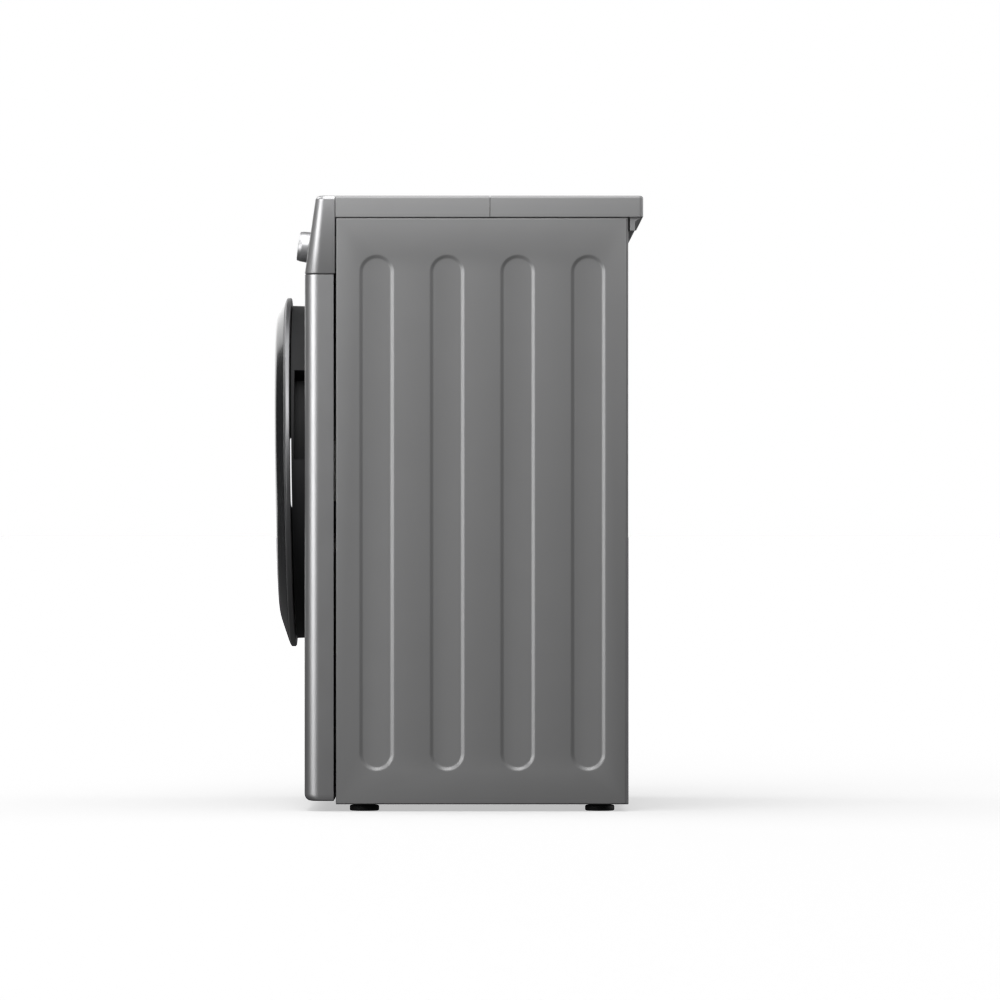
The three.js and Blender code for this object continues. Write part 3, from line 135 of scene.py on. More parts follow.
class Tree:
    """A material's or the world's nodes, with one method that adds any of them."""

    def __init__(self, owner):
        owner.use_nodes = True
        self.nodes = owner.node_tree.nodes
        self.links = owner.node_tree.links
        self.nodes.clear()

    def add(self, kind, settings=None, values=None, output=0):
        node = self.nodes.new(kind)
        for name, value in (settings or {}).items():
            if name == "stops":
                while len(node.color_ramp.elements) < len(value):
                    node.color_ramp.elements.new(0.5)
                for stop, (place, grey) in zip(node.color_ramp.elements, value):
                    stop.position = place
                    stop.color = (grey, grey, grey, 1)
            else:
                setattr(node, name, value)
        for name, value in (values or {}).items():
            if isinstance(value, Socket):
                self.links.new(value.plug, node.inputs[name])
            else:
                node.inputs[name].default_value = value
        return Socket(self, node.outputs[output]) if len(node.outputs) else None

    def blend(self, factor, first, second):
        """A colour between two colours."""
        return self.add("ShaderNodeMix", {"data_type": "RGBA"}, {0: factor, 6: first, 7: second}, output=2)


# %% [markdown]
# ## One recipe for every finish
# Real paint, plastic and metal are never one tone: there is a fine grain, a slow drift of colour over a
# big panel and a little polish where hands rub. The recipe takes a base colour and how strong each of
# these is, so each finish below is one line that says what makes it different.

# %% The finish recipe
def tone(colour, factor):
    return tuple(min(1.0, c * factor) for c in colour) + (1.0,)


def make_finish(name, colour, rough, metal=0.0, grain=900.0, grain_depth=0.02, drift=0.05, streak=None,
                coat=0.0, clear=0.0, haze=0.06, edge=0.0, speckle=0.0):
    """A finish: colour drift, grain bump, uneven gloss and, where wanted, brushing, worn edges or speckle."""
    material = bpy.data.materials.new(name)
    tree = Tree(material)
    place = tree.add("ShaderNodeTexCoord", output=3)
    slow = tree.add("ShaderNodeTexNoise", {}, {"Vector": place, "Scale": 3.0, "Detail": 3.0})
    stretch = {"Vector": place, "Scale": streak or (1.0, 1.0, 1.0)}
    fine_place = tree.add("ShaderNodeMapping", {}, stretch) if streak else place
    fine = tree.add("ShaderNodeTexNoise", {}, {"Vector": fine_place, "Scale": grain, "Detail": 4.0})
    smear = tree.add("ShaderNodeTexNoise", {}, {"Vector": place, "Scale": 24.0, "Detail": 5.0})
    colour_now = tree.blend(slow, tone(colour, 1 - drift), tone(colour, 1 + drift))
    if speckle:
        stones = tree.add("ShaderNodeTexVoronoi", {}, {"Vector": place, "Scale": grain / 3})
        mask = tree.add("ShaderNodeValToRGB", {"stops": [(0.2, 1.0), (0.45, 0.0)]}, {"Fac": stones})
        colour_now = tree.blend(mask * speckle, colour_now, tone(colour, 0.55))
    if streak:
        colour_now = tree.blend(fine * 0.35, colour_now, tone(colour, 0.72))
    if edge:
        bend = tree.add("ShaderNodeNewGeometry", output=7)
        worn = tree.add("ShaderNodeValToRGB", {"stops": [(0.52, 0.0), (0.62, 1.0)]}, {"Fac": bend})
        colour_now = tree.blend(worn * edge, colour_now, tone(colour, 1.7))
    gloss = rough - haze / 2 + smear * haze
    bump = tree.add("ShaderNodeBump", {}, {"Height": fine, "Strength": 0.25, "Distance": grain_depth * MM})
    skin = tree.add("ShaderNodeBsdfPrincipled", {}, {
        "Base Color": colour_now, "Roughness": gloss, "Metallic": metal, "Normal": bump,
        "Coat Weight": coat, "Coat Roughness": 0.06, "Coat IOR": 1.35,
        "Transmission Weight": clear, "IOR": 1.45,
    })
    tree.add("ShaderNodeOutputMaterial", {}, {"Surface": skin})
    return material


# %% [markdown]
# ## The finishes of this machine
# The cabinet's sheet is silver-grey paint with some metal flake and a fine orange-peel skin. The front's
# paint is almost all flake, so its rounded edge catches the light as a bright line. The door's cover is
# gloss black plastic with a thin lacquer, and the body behind it is matt. Inside are bare zinc, stainless,
# copper, white polypropylene, cast alloy and a concrete weight.

# %% All sixteen finishes
BRUSHED = (60.0, 60.0, 1.0)
FINISHES = {
    "coated_steel": make_finish("silver_paint", (0.27, 0.27, 0.272), 0.42, 0.35, grain_depth=0.03,
                                drift=0.03),
    "front_steel": make_finish("front_paint", (0.42, 0.42, 0.425), 0.42, 0.88, grain_depth=0.02, drift=0.03),
    "lid_plastic": make_finish("lid_moulding", (0.3, 0.3, 0.302), 0.46, 0.2, grain=1500, grain_depth=0.05,
                               drift=0.03),
    "galvanised": make_finish("zinc_coat", (0.55, 0.56, 0.57), 0.42, 0.85, grain=90, speckle=0.12, drift=0.06,
                              haze=0.2),
    "gloss_black": make_finish("piano_black", (0.004, 0.004, 0.005), 0.16, 0.0, coat=0.2, drift=0.1,
                               haze=0.03, grain_depth=0.003),
    "matt_black": make_finish("black_moulding", (0.006, 0.006, 0.007), 0.65, 0.0, grain=1800,
                              grain_depth=0.05, drift=0.12),
    "satin_trim": make_finish("satin_ring", (0.2, 0.2, 0.205), 0.4, 0.9, streak=(1.0, 50.0, 1.0), grain=160,
                              drift=0.03),
    "knob_metal": make_finish("turned_aluminium", (0.55, 0.55, 0.56), 0.42, 0.9, streak=(1.0, 60.0, 1.0),
                              grain=120, drift=0.02, haze=0.08),
    "tinted_glass": make_finish("smoked_glass", (0.34, 0.36, 0.38), 0.05, 0.0, clear=0.85, haze=0.03,
                                grain_depth=0.002, drift=0.02),
    "grey_rubber": make_finish("moulded_rubber", (0.17, 0.175, 0.18), 0.62, 0.0, grain=2200, grain_depth=0.06,
                               drift=0.1, haze=0.15),
    "white_plastic": make_finish("white_moulding", (0.72, 0.72, 0.7), 0.42, 0.0, grain=1400, grain_depth=0.03,
                                 drift=0.04),
    "concrete": make_finish("cast_concrete", (0.34, 0.33, 0.31), 0.9, 0.0, grain=260, grain_depth=0.5,
                            speckle=0.6, drift=0.2),
    "stainless": make_finish("brushed_stainless", (0.58, 0.58, 0.58), 0.25, 1.0, streak=BRUSHED, grain=30,
                             drift=0.03, haze=0.1),
    "copper_winding": make_finish("enamelled_copper", (0.5, 0.2, 0.09), 0.35, 0.9, streak=BRUSHED, grain=60,
                                  drift=0.15),
    "cast_alloy": make_finish("die_cast_alloy", (0.46, 0.46, 0.47), 0.5, 0.9, grain=500, grain_depth=0.2,
                              drift=0.12, haze=0.2, edge=0.4),
    "rotor_steel": make_finish("pressed_rotor", (0.42, 0.43, 0.45), 0.36, 0.95, grain=240, grain_depth=0.05,
                               drift=0.1, haze=0.15, edge=0.3),
}
print("finishes:", len(FINISHES))

# %% [markdown]
# ## The camera
# The machine is looked at squarely from its right side, from far away with a long lens, so that upright
# edges stay upright. The lens follows from the picture's width at the near side.

# %% A long lens, square to the side
SENSOR = 36.0
CAMERA_AWAY = 12.0
PICTURE_WIDTH = 1.38
CAMERA_LEVEL = (0.0595, 0.4298)
camera_data = bpy.data.cameras.new("camera")
camera_data.sensor_width = SENSOR
camera_data.lens = SENSOR * CAMERA_AWAY / PICTURE_WIDTH
camera_data.clip_end = 100.0
camera = link("camera", camera_data)
camera.location = (HALF * MM + CAMERA_AWAY, *CAMERA_LEVEL)
camera.rotation_euler = (math.pi / 2, 0, math.pi / 2)
bpy.context.scene.camera = camera
bpy.context.scene.view_settings.view_transform = "Standard"
print("lens", round(camera_data.lens), "mm")

# %% [markdown]
# ## Light, floor and backdrop
# A catalogue studio: one broad soft box in front and to the right, a wide one overhead, and fills from the
# other sides. The soft box is broad, because a metal edge shows the light's own shape. The room looks
# white but lights the machine only a little, so that its dark pieces stay dark. The floor is a plain pale
# sheet that shows nothing but a thin shadow, and it has a light of its own.

# %% Soft boxes
AIM = Vector((0.0, 0.0, 0.43))


def soft_box(name, place, size, power):
    data = bpy.data.lights.new(name, "AREA")
    data.shape = "RECTANGLE"
    data.size, data.size_y = size
    data.energy = power
    lamp = link(name, data)
    lamp.location = place
    lamp.rotation_euler = (AIM - lamp.location).to_track_quat("-Z", "Y").to_euler()
    lamp.visible_camera = False
    return lamp


soft_box("key_box", (2.3, -2.5, 0.95), (1.7, 1.7), 52)
soft_box("top_box", (0.6, 0.0, 3.0), (2.4, 2.4), 55)
soft_box("side_fill", (2.2, -0.3, 2.3), (1.4, 1.4), 32)
soft_box("left_fill", (-3.0, -1.2, 1.2), (2.0, 2.0), 18)
soft_box("front_fill", (-0.7, -2.4, 2.8), (2.2, 1.6), 45)
soft_box("rear_fill", (-0.8, 3.4, 1.3), (2.4, 2.0), 45)

# %% White room and pale floor
ROOM_GLOW = 0.07
world = bpy.data.worlds.new("white_room")
bpy.context.scene.world = world
room = Tree(world)
seen = room.add("ShaderNodeLightPath")
strength = ROOM_GLOW + seen * (1 - ROOM_GLOW)
glow = room.add("ShaderNodeBackground", {}, {"Color": (1, 1, 1, 1), "Strength": strength})
room.add("ShaderNodeOutputWorld", {}, {"Surface": glow})

bpy.ops.mesh.primitive_plane_add(size=400)
floor = bpy.context.object
floor.name = "floor"
floor.is_shadow_catcher = True
floor.visible_glossy = False
floor.visible_diffuse = False
floor.data.materials.append(make_finish("pale_floor", (0.8, 0.8, 0.8), 0.7, drift=0.01))

# %% A shadowless wash on the floor alone, which thins the machine's shadow
wash = soft_box("floor_wash", (0.0, 0.0, 3.2), (3.0, 3.0), 240)
wash.data.use_shadow = False
washed = bpy.data.collections.new("washed_floor")
washed.objects.link(floor)
wash.light_linking.receiver_collection = washed

# %% [markdown]
# ## Tools for making shapes
# Most pieces of a washing machine are turned, pressed or moulded. Four small tools cover them: a mesh from
# points, a turned ring, a skin over a row of outlines, and a cutter. Rounding is put in the outline
# itself where it is large, and left to a Bevel modifier where it is only a broken edge.

# %% A mesh from points, and smooth shading up to an angle
def new_piece(name, points, faces):
    mesh = bpy.data.meshes.new(name)
    mesh.from_pydata([metres(*p) for p in points], [], faces)
    piece = link(name, mesh)
    work = bmesh.new()
    work.from_mesh(mesh)
    bmesh.ops.recalc_face_normals(work, faces=work.faces)
    work.to_mesh(mesh)
    work.free()
    return piece


def smooth(piece, angle=32):
    for face in piece.data.polygons:
        face.use_smooth = True
    piece.data.set_sharp_from_angle(angle=math.radians(angle))


# %% Rounded corners for an outline
def rounded(corners, radius, steps=4, closed=True):
    """The same outline with each corner turned into a curve. radius is one number, or one for each corner."""
    radii = radius if isinstance(radius, (list, tuple)) else [radius] * len(corners)
    made = []
    for i, corner in enumerate(corners):
        here = Vector(corner)
        if radii[i] == 0 or (not closed and i in (0, len(corners) - 1)):
            made.append(tuple(here))
            continue
        back = Vector(corners[i - 1]) - here
        onward = Vector(corners[(i + 1) % len(corners)]) - here
        reach = radii[i] / math.tan(max(back.angle(onward), 0.1) / 2)
        reach = min(reach, 0.499 * back.length, 0.499 * onward.length)
        swing = math.pi - back.angle(onward)
        if swing < 0.02:
            made.append(tuple(here))
            continue
        middle = back.normalized() + onward.normalized()
        centre = here + middle.normalized() * (reach / math.cos(back.angle(onward) / 2))
        start = here + back.normalized() * reach - centre
        end = here + onward.normalized() * reach - centre
        for k in range(steps + 1):
            a, b = math.sin((1 - k / steps) * swing), math.sin(k / steps * swing)
            made.append(tuple(centre + (a * start + b * end) / math.sin(swing)))
    return made


# %% Turned pieces
def turned(name, profile, x=0.0, z=0.0, steps=128, closed=True):
    """A body of revolution about the depth axis, from (radius, depth) points."""
    points, rings, faces = [], [], []
    for radius, y in profile:
        count = 1 if radius < 1e-6 else steps
        rings.append(list(range(len(points), len(points) + count)))
        for i in range(count):
            a = 2 * math.pi * i / steps
            points.append((x + radius * math.cos(a), y, z + radius * math.sin(a)))
    for first, second in zip(rings, rings[1:] + (rings[:1] if closed else [])):
        for i in range(steps):
            j = (i + 1) % steps
            m, n = len(first), len(second)
            corner = list(dict.fromkeys([first[i % m], first[j % m], second[j % n], second[i % n]]))
            if len(corner) > 2:
                faces.append(corner)
    return new_piece(name, points, faces)


# %% A skin over a row of outlines
def skinned(name, outlines, loop=False, caps=True):
    """Joins outlines of equal length. loop joins the last to the first; caps close the two ends."""
    count = len(outlines[0])
    faces = []
    for k in range(len(outlines) if loop else len(outlines) - 1):
        a, b = k * count, (k + 1) % len(outlines) * count
        faces += [(a + i, a + (i + 1) % count, b + (i + 1) % count, b + i) for i in range(count)]
    if caps and not loop:
        faces.append(tuple(range(count)))
        faces.append(tuple(range((len(outlines) - 1) * count, len(outlines) * count)))
    return new_piece(name, [p for outline in outlines for p in outline], faces)


# %% Cutting and joining
def carve(piece, *tools, how="DIFFERENCE"):
    """Cuts the tools out of a piece, or joins or keeps what is common, and removes the tools."""
    for tool in tools:
        step = piece.modifiers.new("carve", "BOOLEAN")
        step.operation, step.solver, step.object = how, "EXACT", tool
        seen_now = piece.evaluated_get(bpy.context.evaluated_depsgraph_get())
        made = bpy.data.meshes.new_from_object(seen_now)
        piece.modifiers.clear()
        piece.data = made
        bpy.data.objects.remove(tool)
    return piece


def weld(piece, *others):
    return carve(piece, *others, how="UNION")


def block(x, y, z, radius=0.0, steps=3, name="block"):
    """A block between two widths, depths and heights, its corners in the front view rounded."""
    corners = [(x[0], z[0]), (x[1], z[0]), (x[1], z[1]), (x[0], z[1])]
    outline = rounded(corners, radius, steps) if radius else corners
    return skinned(name, [[(a, d, b) for a, b in outline] for d in y])


def rod(radius, y, x=0.0, z=0.0, steps=64, name="rod"):
    return turned(name, [(0, y[0]), (radius, y[0]), (radius, y[1]), (0, y[1])], x, z, steps, closed=False)


def post(radius, x, y, z, steps=32, name="post"):
    """A round pillar standing along the height."""
    circle = [(x + radius * math.cos(a), y + radius * math.sin(a))
              for a in (2 * math.pi * i / steps for i in range(steps))]
    return skinned(name, [[(a, b, level) for a, b in circle] for level in z])


# %% [markdown]
# ## Setting a piece on the frame
# A finished piece stands for the frame's own plain piece, which it hides. It rides on that piece's body
# unless told not to, and takes the finish of that piece's material slot. Where an edge width is given, its
# edges are broken by a small bevel, because no moulding or pressing has a sharp edge and the thin
# highlight along it is what makes it look real.

# %% Standing for a frame piece
def dress(piece, slot, edge=0.0, angle=32, segments=2):
    piece.data.materials.clear()
    piece.data.materials.append(FINISHES[slot])
    smooth(piece, angle)
    if edge:
        bevel = piece.modifiers.new("broken_edge", "BEVEL")
        bevel.width = edge * MM
        bevel.segments = segments
        bevel.limit_method = "ANGLE"
        bevel.angle_limit = math.radians(38)
        bevel.harden_normals = True
        bevel.use_clamp_overlap = True
    return piece


def stand_for(piece, node, edge=0.0, angle=32, segments=2, rides=True):
    dress(piece, SLOT_OF[node], edge, angle, segments)
    if rides:
        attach(piece, BODY_OF[node])
    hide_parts(node)
    print(node, len(piece.data.polygons), "faces")
    return piece


def fasten(piece, body, slot, edge=0.0, angle=32):
    """A small fitting that has no piece of its own in the frame, such as a screw."""
    dress(piece, slot, edge, angle)
    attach(piece, body)
    return piece


# %% [markdown]
# ## Side panels
# Each side is one sheet, pressed with four long round-ended channels that stop it drumming, with its
# four edges rolled inward. A cut channel would have hard edges, so the panel is a flat face
# with four openings, and each opening is filled by outlines that sink in a smooth S to the
# channel's floor. A Solidify modifier gives the sheet its thickness.

# %% The pressed channel and the rolled edge
CHANNEL_HALF = 25.0
CHANNEL_DEPTH = 2.5
CHANNEL_BEVEL = 7.0
CHANNELS = 4
CHANNEL_PITCH = 97.3
CHANNEL_START = side_low.y + 56
CHANNEL_LOW = side_low.z + 45
CHANNEL_TOP = side_high.z - 50.2
ROLL = {"front": 1.6, "rear": 5.0, "top": 2.5, "foot": 1.6}
FLANGE = 16.0


def stadium(centre, inset):
    """A round-ended outline as (depth, height) points."""
    half = CHANNEL_HALF - inset
    low, top = CHANNEL_LOW + CHANNEL_HALF, CHANNEL_TOP - CHANNEL_HALF
    step = math.pi / 24
    ends = [(z, start + i * step) for z, start in ((top, 0.0), (low, math.pi)) for i in range(25)]
    return [(centre + half * math.cos(a), z + half * math.sin(a)) for z, a in ends]


# %% The panel as a flat face with sunk channels
def side_sheet(name, sign):
    face_x = side_high.x
    work = bmesh.new()

    def ring_of(outline, depth):
        return [work.verts.new(metres(sign * (face_x - depth), y, z)) for y, z in outline]

    def bridge(first, second):
        for i in range(len(first)):
            j = (i + 1) % len(first)
            work.faces.new((first[i], first[j], second[j], second[i]))

    def edge_ring(share, depth):
        return ring_of([
            (side_low.y + ROLL["front"] * share, side_low.z + ROLL["foot"] * share),
            (side_high.y - ROLL["rear"] * share, side_low.z + ROLL["foot"] * share),
            (side_high.y - ROLL["rear"] * share, side_high.z - ROLL["top"] * share),
            (side_low.y + ROLL["front"] * share, side_high.z - ROLL["top"] * share)], depth)

    border = edge_ring(1.0, 0.0)
    edges = [work.edges.new((border[i], border[(i + 1) % 4])) for i in range(4)]
    for c in range(CHANNELS):
        centre = CHANNEL_START + c * CHANNEL_PITCH
        rim = ring_of(stadium(centre, 0.0), 0.0)
        edges += [work.edges.new((rim[i], rim[(i + 1) % len(rim)])) for i in range(len(rim))]
        for k in range(1, 9):
            sink = CHANNEL_DEPTH * (1 - math.cos(math.pi * k / 8)) / 2
            inner = ring_of(stadium(centre, CHANNEL_BEVEL * k / 8), sink)
            bridge(rim, inner)
            rim = inner
        work.faces.new(rim)
    bmesh.ops.triangle_fill(work, use_beauty=True, edges=edges)
    for k in range(1, 7):
        a = math.pi / 2 * k / 6
        rolled = edge_ring(1 - math.sin(a), 2.5 * (1 - math.cos(a)))
        bridge(border, rolled)
        border = rolled
    bridge(border, edge_ring(0.0, FLANGE))
    bmesh.ops.recalc_face_normals(work, faces=work.faces)
    outward = sum((f.normal.x * f.calc_area() for f in work.faces), 0.0) * sign
    if outward < 0:
        bmesh.ops.reverse_faces(work, faces=work.faces)
    mesh = bpy.data.meshes.new(name)
    work.to_mesh(mesh)
    work.free()
    sheet = link(name, mesh)
    wall = sheet.modifiers.new("sheet_thickness", "SOLIDIFY")
    wall.thickness = SHEET * MM
    wall.offset = -1.0
    return sheet


stand_for(side_sheet("pressed_side_right", 1), "side_panel_right", angle=25)
stand_for(side_sheet("pressed_side_left", -1), "side_panel_left", angle=25)

# %% [markdown]
# ## The lid
# The lid is a moulded frame in two halves that meet behind the middle, with a thin board dropped in.
# Its upper rim is rounded, so it shows as a lighter strip. Plan outlines that shrink towards the top give
# that rounding all the way round, and one straight cut parts the halves.

# %% Both halves of the lid frame
LID_BOTTOM = front_high.z + 79
LID_EDGE = 4.0
LID_SEAM = span("lid_front_frame")[1].y + 0.4
LID_FRONT = span("lid_front_frame")[0].y
BAR = 26.0
BOARD_THICK = 16.0


def plan_outline(half, front, rear, corner, rear_corner):
    corners = [(-half, rear), (-half, front), (half, front), (half, rear)]
    return rounded(corners, [rear_corner, corner, corner, rear_corner], steps=6)


def lid_block(name):
    levels = [(LID_BOTTOM, 0.8), (LID_BOTTOM + 0.8, 0.0), (HEIGHT - LID_EDGE, 0.0)]
    levels += [(HEIGHT - LID_EDGE * (1 - math.sin(a)), LID_EDGE * (1 - math.cos(a)))
               for a in (math.pi / 2 * k / 6 for k in range(1, 7))]
    outlines = []
    for z, inset in levels:
        outline = plan_outline(HALF - inset, LID_FRONT, DEPTH - inset, 0.5, 6.0)
        outlines.append([(x, y, z) for x, y in outline])
    return skinned(name, outlines)


def lid_room():
    x, front, rear = HALF - BAR, LID_FRONT + BAR, DEPTH - BAR
    ledge = HEIGHT - BOARD_THICK - 1.3
    return [block((-x, x), (front, rear), (ledge, HEIGHT + 1)),
            block((8 - x, x - 8), (front + 8, rear - 8), (LID_BOTTOM - 30, HEIGHT)),
            block((-x - 20, x + 20), (front - 20, rear + 6), (LID_BOTTOM - 1, LID_BOTTOM + 9))]


def side_outline(name, outline, x):
    """An outline of (depth, height) points, run across the machine."""
    return skinned(name, [[(a, y, z) for y, z in outline] for a in x])


front_half = carve(lid_block("lid_frame_front"), *lid_room(),
                   block((-400, 400), (LID_SEAM - 0.4, 600), (700, 900)))
stand_for(front_half, "lid_front_frame", edge=0.5)
LIP = [(DEPTH - 1.6, LID_BOTTOM), (DEPTH - 11, LID_BOTTOM - 6), (DEPTH - 11.3, LID_BOTTOM - 18.4),
       (DEPTH - 18.2, LID_BOTTOM - 18.4), (DEPTH - 18.2, LID_BOTTOM + 2), (DEPTH - 3, LID_BOTTOM + 2)]
rear_half = carve(lid_block("lid_frame_rear"), *lid_room(),
                  block((-400, 400), (-100, LID_SEAM + 0.4), (700, 900)))
lip = side_outline("lid_lip", rounded(LIP, [0, 1.5, 1.0, 1.0, 0, 0], 3), (4 - HALF, HALF - 4))
stand_for(weld(rear_half, lip), "lid_rear_frame", edge=0.5)

# %% The board in the lid, with a moulded edge
board_low, board_high = span("lid_board")
board_rings = []
board_top = board_high.z
for z, inset in [(board_low.z, 0.6), (board_low.z + 0.6, 0.0), (board_top - 1.2, 0.0), (board_top - 0.4, 0.4),
                 (board_top - 0.1, 1.2), (board_top, 6.0)]:
    outline = plan_outline(board_high.x - inset, board_low.y + inset, board_high.y - inset, 4.0, 4.0)
    board_rings.append([(x, y, z) for x, y in outline])
stand_for(skinned("lid_insert", board_rings), "lid_board", angle=20)

# %% [markdown]
# ## The front panel
# One deep pressing: its upright edges are rolled to a 20 mm radius, its foot to 9 mm, and the middle is
# sunk to a dish that the door sits in, ending in the porthole's collar. It is made as a solid block with
# a smaller block taken out, where the dish is left standing in the smaller block, so that the sheet is
# the same thickness everywhere.

# %% Plan outlines that round the upright edges and the foot
door_low, door_high = span("door_trim_ring")
DOOR_Z = (door_low.z + door_high.z) / 2
DOOR_R = (door_high.z - door_low.z) / 2
PANEL_HALF = front_high.x
EDGE_R = 20.0
FOOT_R = 9.0
DISH_R = DOOR_R + 2.5
DISH_FLOOR_R = DISH_R - 7
DISH_DEPTH = 14.0
MOUTH_R = DISH_FLOOR_R - 49.5
MOUTH_COLLAR = 26.0
BEND = 3.0


def front_block(name, inset):
    """The front panel's outside, or with an inset its inside, rising from the foot to the top."""
    outlines = []
    turns = [math.pi / 16 * k for k in range(9)]
    levels = [(FOOT_R * (1 - math.cos(a)), FOOT_R * (1 - math.sin(a))) for a in turns]
    for rise, back in levels + [(front_high.z - front_low.z - inset, 0.0)]:
        x, y = PANEL_HALF - inset - 0.12 * back, inset + back * (1 - inset / FOOT_R)
        corners = [(-x, 40 + 2 * inset), (-x, y), (x, y), (x, 40 + 2 * inset)]
        z = front_low.z + max(rise, inset)
        outlines.append([(a, b, z) for a, b in rounded(corners, [0, EDGE_R - inset, EDGE_R - inset, 0], 14)])
    return skinned(name, outlines)


def arc(centre, radius, start, end, steps=6):
    """Points on an arc in the (radius, depth) plane, between two angles in degrees."""
    angles = [math.radians(start + (end - start) * k / steps) for k in range(steps + 1)]
    return [(centre[0] + radius * math.cos(a), centre[1] + radius * math.sin(a)) for a in angles]


def dish_block(name, sheet, end):
    """The room that the dish and the porthole take, grown by a sheet's thickness for the metal's far side."""
    profile = [(0, -6), (DISH_R + BEND, -6)]
    profile += arc((DISH_R + BEND, BEND), BEND - sheet, -90, -180)
    floor_y = DISH_DEPTH + sheet
    wall = [(DISH_R + sheet, BEND), (DISH_FLOOR_R + sheet, floor_y), (MOUTH_R + BEND, floor_y)]
    profile += rounded(wall, 5.0 + sheet, 5, closed=False)[1:]
    profile += arc((MOUTH_R + BEND, DISH_DEPTH + BEND), BEND - sheet, -90, -180)[1:]
    profile += [(MOUTH_R + sheet, end), (0, end)]
    return turned(name, profile, 0, DOOR_Z, steps=160, closed=False)


# %% Cutting the front panel
flap_low, flap_high = span("filter_flap")
HOOK_X = 218.0
inside = carve(front_block("front_inside", SHEET), dish_block("dish_back", SHEET, MOUTH_COLLAR))
front = carve(
    front_block("pressed_front", 0.0), inside, dish_block("dish_front", 0.0, MOUTH_COLLAR + 2),
    block((flap_low.x - 1, flap_high.x + 1), (-5, 5), (flap_low.z - 1, flap_high.z + 1), 3.0, 5),
    block((HOOK_X - 10, HOOK_X + 10), (5, 20), (DOOR_Z - 15, DOOR_Z + 15), 3.0, 5))
stand_for(front, "front_panel", edge=0.35, angle=25)

# %% The filter flap, with a finger recess
flap = block((flap_low.x, flap_high.x), (0, 2.5), (flap_low.z, flap_high.z), 2.5, 5, "flap_plate")
flap_mid = (flap_low.x + flap_high.x) / 2
recess = block((flap_mid - 16, flap_mid + 16), (-1, 1.4), (flap_high.z - 11, flap_high.z + 8), 5.0, 6)
flap = carve(flap, recess)
stand_for(flap, "filter_flap", edge=0.4)

# %% [markdown]
# ## The control panel
# A moulding that leans back a little, so that the display is easy to read from above. Its plan outline
# moves back as it rises, which gives the slope; its top front edge has a larger radius. Openings are cut
# for the drawer, the display, the knob and each button.

# %% The leaning block
PLASTIC = 2.5
LEAN = math.radians(8.3)
CONTROL_MIDDLE = control_high.z - (control_high.z - control_low.z) / 2
CONTROL_FACE = 7.75
TOP_R = 5.5
TOP_SIDE_R = 4.0


def control_block(name, inset, rear=41.6):
    top, foot = control_high.z - inset, control_low.z + inset
    radius = TOP_R - inset
    levels = [(foot, 1.0, 0.8), (foot + 0.4, 0.3, 0.25), (foot + 1.2, 0.0, 0.0), (top - radius, 0.0, 0.0)]
    levels += [(top - radius * (1 - math.sin(a)), radius * (1 - math.cos(a)),
                (TOP_SIDE_R - inset * TOP_SIDE_R / TOP_R) * (1 - math.cos(a)))
               for a in (math.pi / 16 * k for k in range(1, 9))]
    outlines = []
    for z, back, narrower in levels:
        y = CONTROL_FACE + (z - CONTROL_MIDDLE) * math.tan(LEAN) + inset + back
        x = PANEL_HALF - inset - narrower
        corners = [(-x, rear + 2 * inset), (-x, y), (x, y), (x, rear + 2 * inset)]
        outlines.append([(a, b, z) for a, b in rounded(corners, [0, EDGE_R - inset, EDGE_R - inset, 0], 14)])
    return skinned(name, outlines)


pivot = Vector(metres(0, CONTROL_FACE, CONTROL_MIDDLE))
LEANING = Matrix.Translation(pivot) @ Matrix.Rotation(-LEAN, 4, "X") @ Matrix.Translation(-pivot)


def leaned(piece):
    """Tips a piece that was drawn upright into the panel's slope."""
    piece.data.transform(LEANING)
    return piece


def on_face(x, y, z):
    """Ranges on the sloped face, from ranges counted from its middle."""
    return x, tuple(CONTROL_FACE + d for d in y), tuple(CONTROL_MIDDLE + h for h in z)


# %% Buttons and display, measured on the sloped face
KNOB_Z = -10.4
DISPLAY = {"x": (42, 214), "z": (-8, 36)}
BUTTONS = {
    "power_button": (-56, KNOB_Z, 10, 10), "start_button": (254, KNOB_Z, 13, 13),
    "option_button_1": (92, -26, 22, 6), "option_button_2": (164, -26, 22, 6),
}


def button_outline(button, grow, depth):
    x, z, wide, high = button
    corners = [(x - wide - grow, z - high - grow), (x + wide + grow, z - high - grow),
               (x + wide + grow, z + high + grow), (x - wide - grow, z + high + grow)]
    return [(a, CONTROL_FACE + depth, CONTROL_MIDDLE + b) for a, b in rounded(corners, high + grow, 10)]


def button_piece(name, button, levels):
    return leaned(skinned(name, [button_outline(button, grow, depth) for grow, depth in levels]))


# %% The panel with its openings
drawer_low, drawer_high = span("drawer_front")
panel = carve(
    control_block("control_moulding", 0.0), control_block("control_room", PLASTIC, 50),
    block((drawer_low.x - 1, drawer_high.x + 1), (-30, 36), (drawer_low.z - 1, drawer_high.z + 1), 4.0, 5),
    leaned(block(*on_face(DISPLAY["x"], (-8, 8), DISPLAY["z"]), 2.5, 5)),
    leaned(rod(5.35, (CONTROL_FACE - 8, CONTROL_FACE + 8), 0, CONTROL_MIDDLE + KNOB_Z)),
    *[button_piece("opening", b, [(0.6, -8), (0.6, 8)]) for b in BUTTONS.values()])
stand_for(panel, "control_panel", edge=0.35, angle=25)

# %% Buttons with a soft dish in the middle
CAP_LEVELS = [(1.5, 6), (1.5, 3), (0, 3), (0, -0.5), (-0.15, -0.95), (-0.6, -1.2), (-1.4, -1.15),
              (-2.6, -0.9), (-4.0, -0.8)]
for name, button in BUTTONS.items():
    stand_for(button_piece(name + "_cap", button, CAP_LEVELS), name, angle=40)

# %% The display's black pane, with rounded corners
pane = leaned(block(*on_face((42.3, 213.7), (-0.5, 2.0), (-7.7, 35.7)), 2.2, 5, "display_pane"))
stand_for(pane, "display_window", edge=0.25)

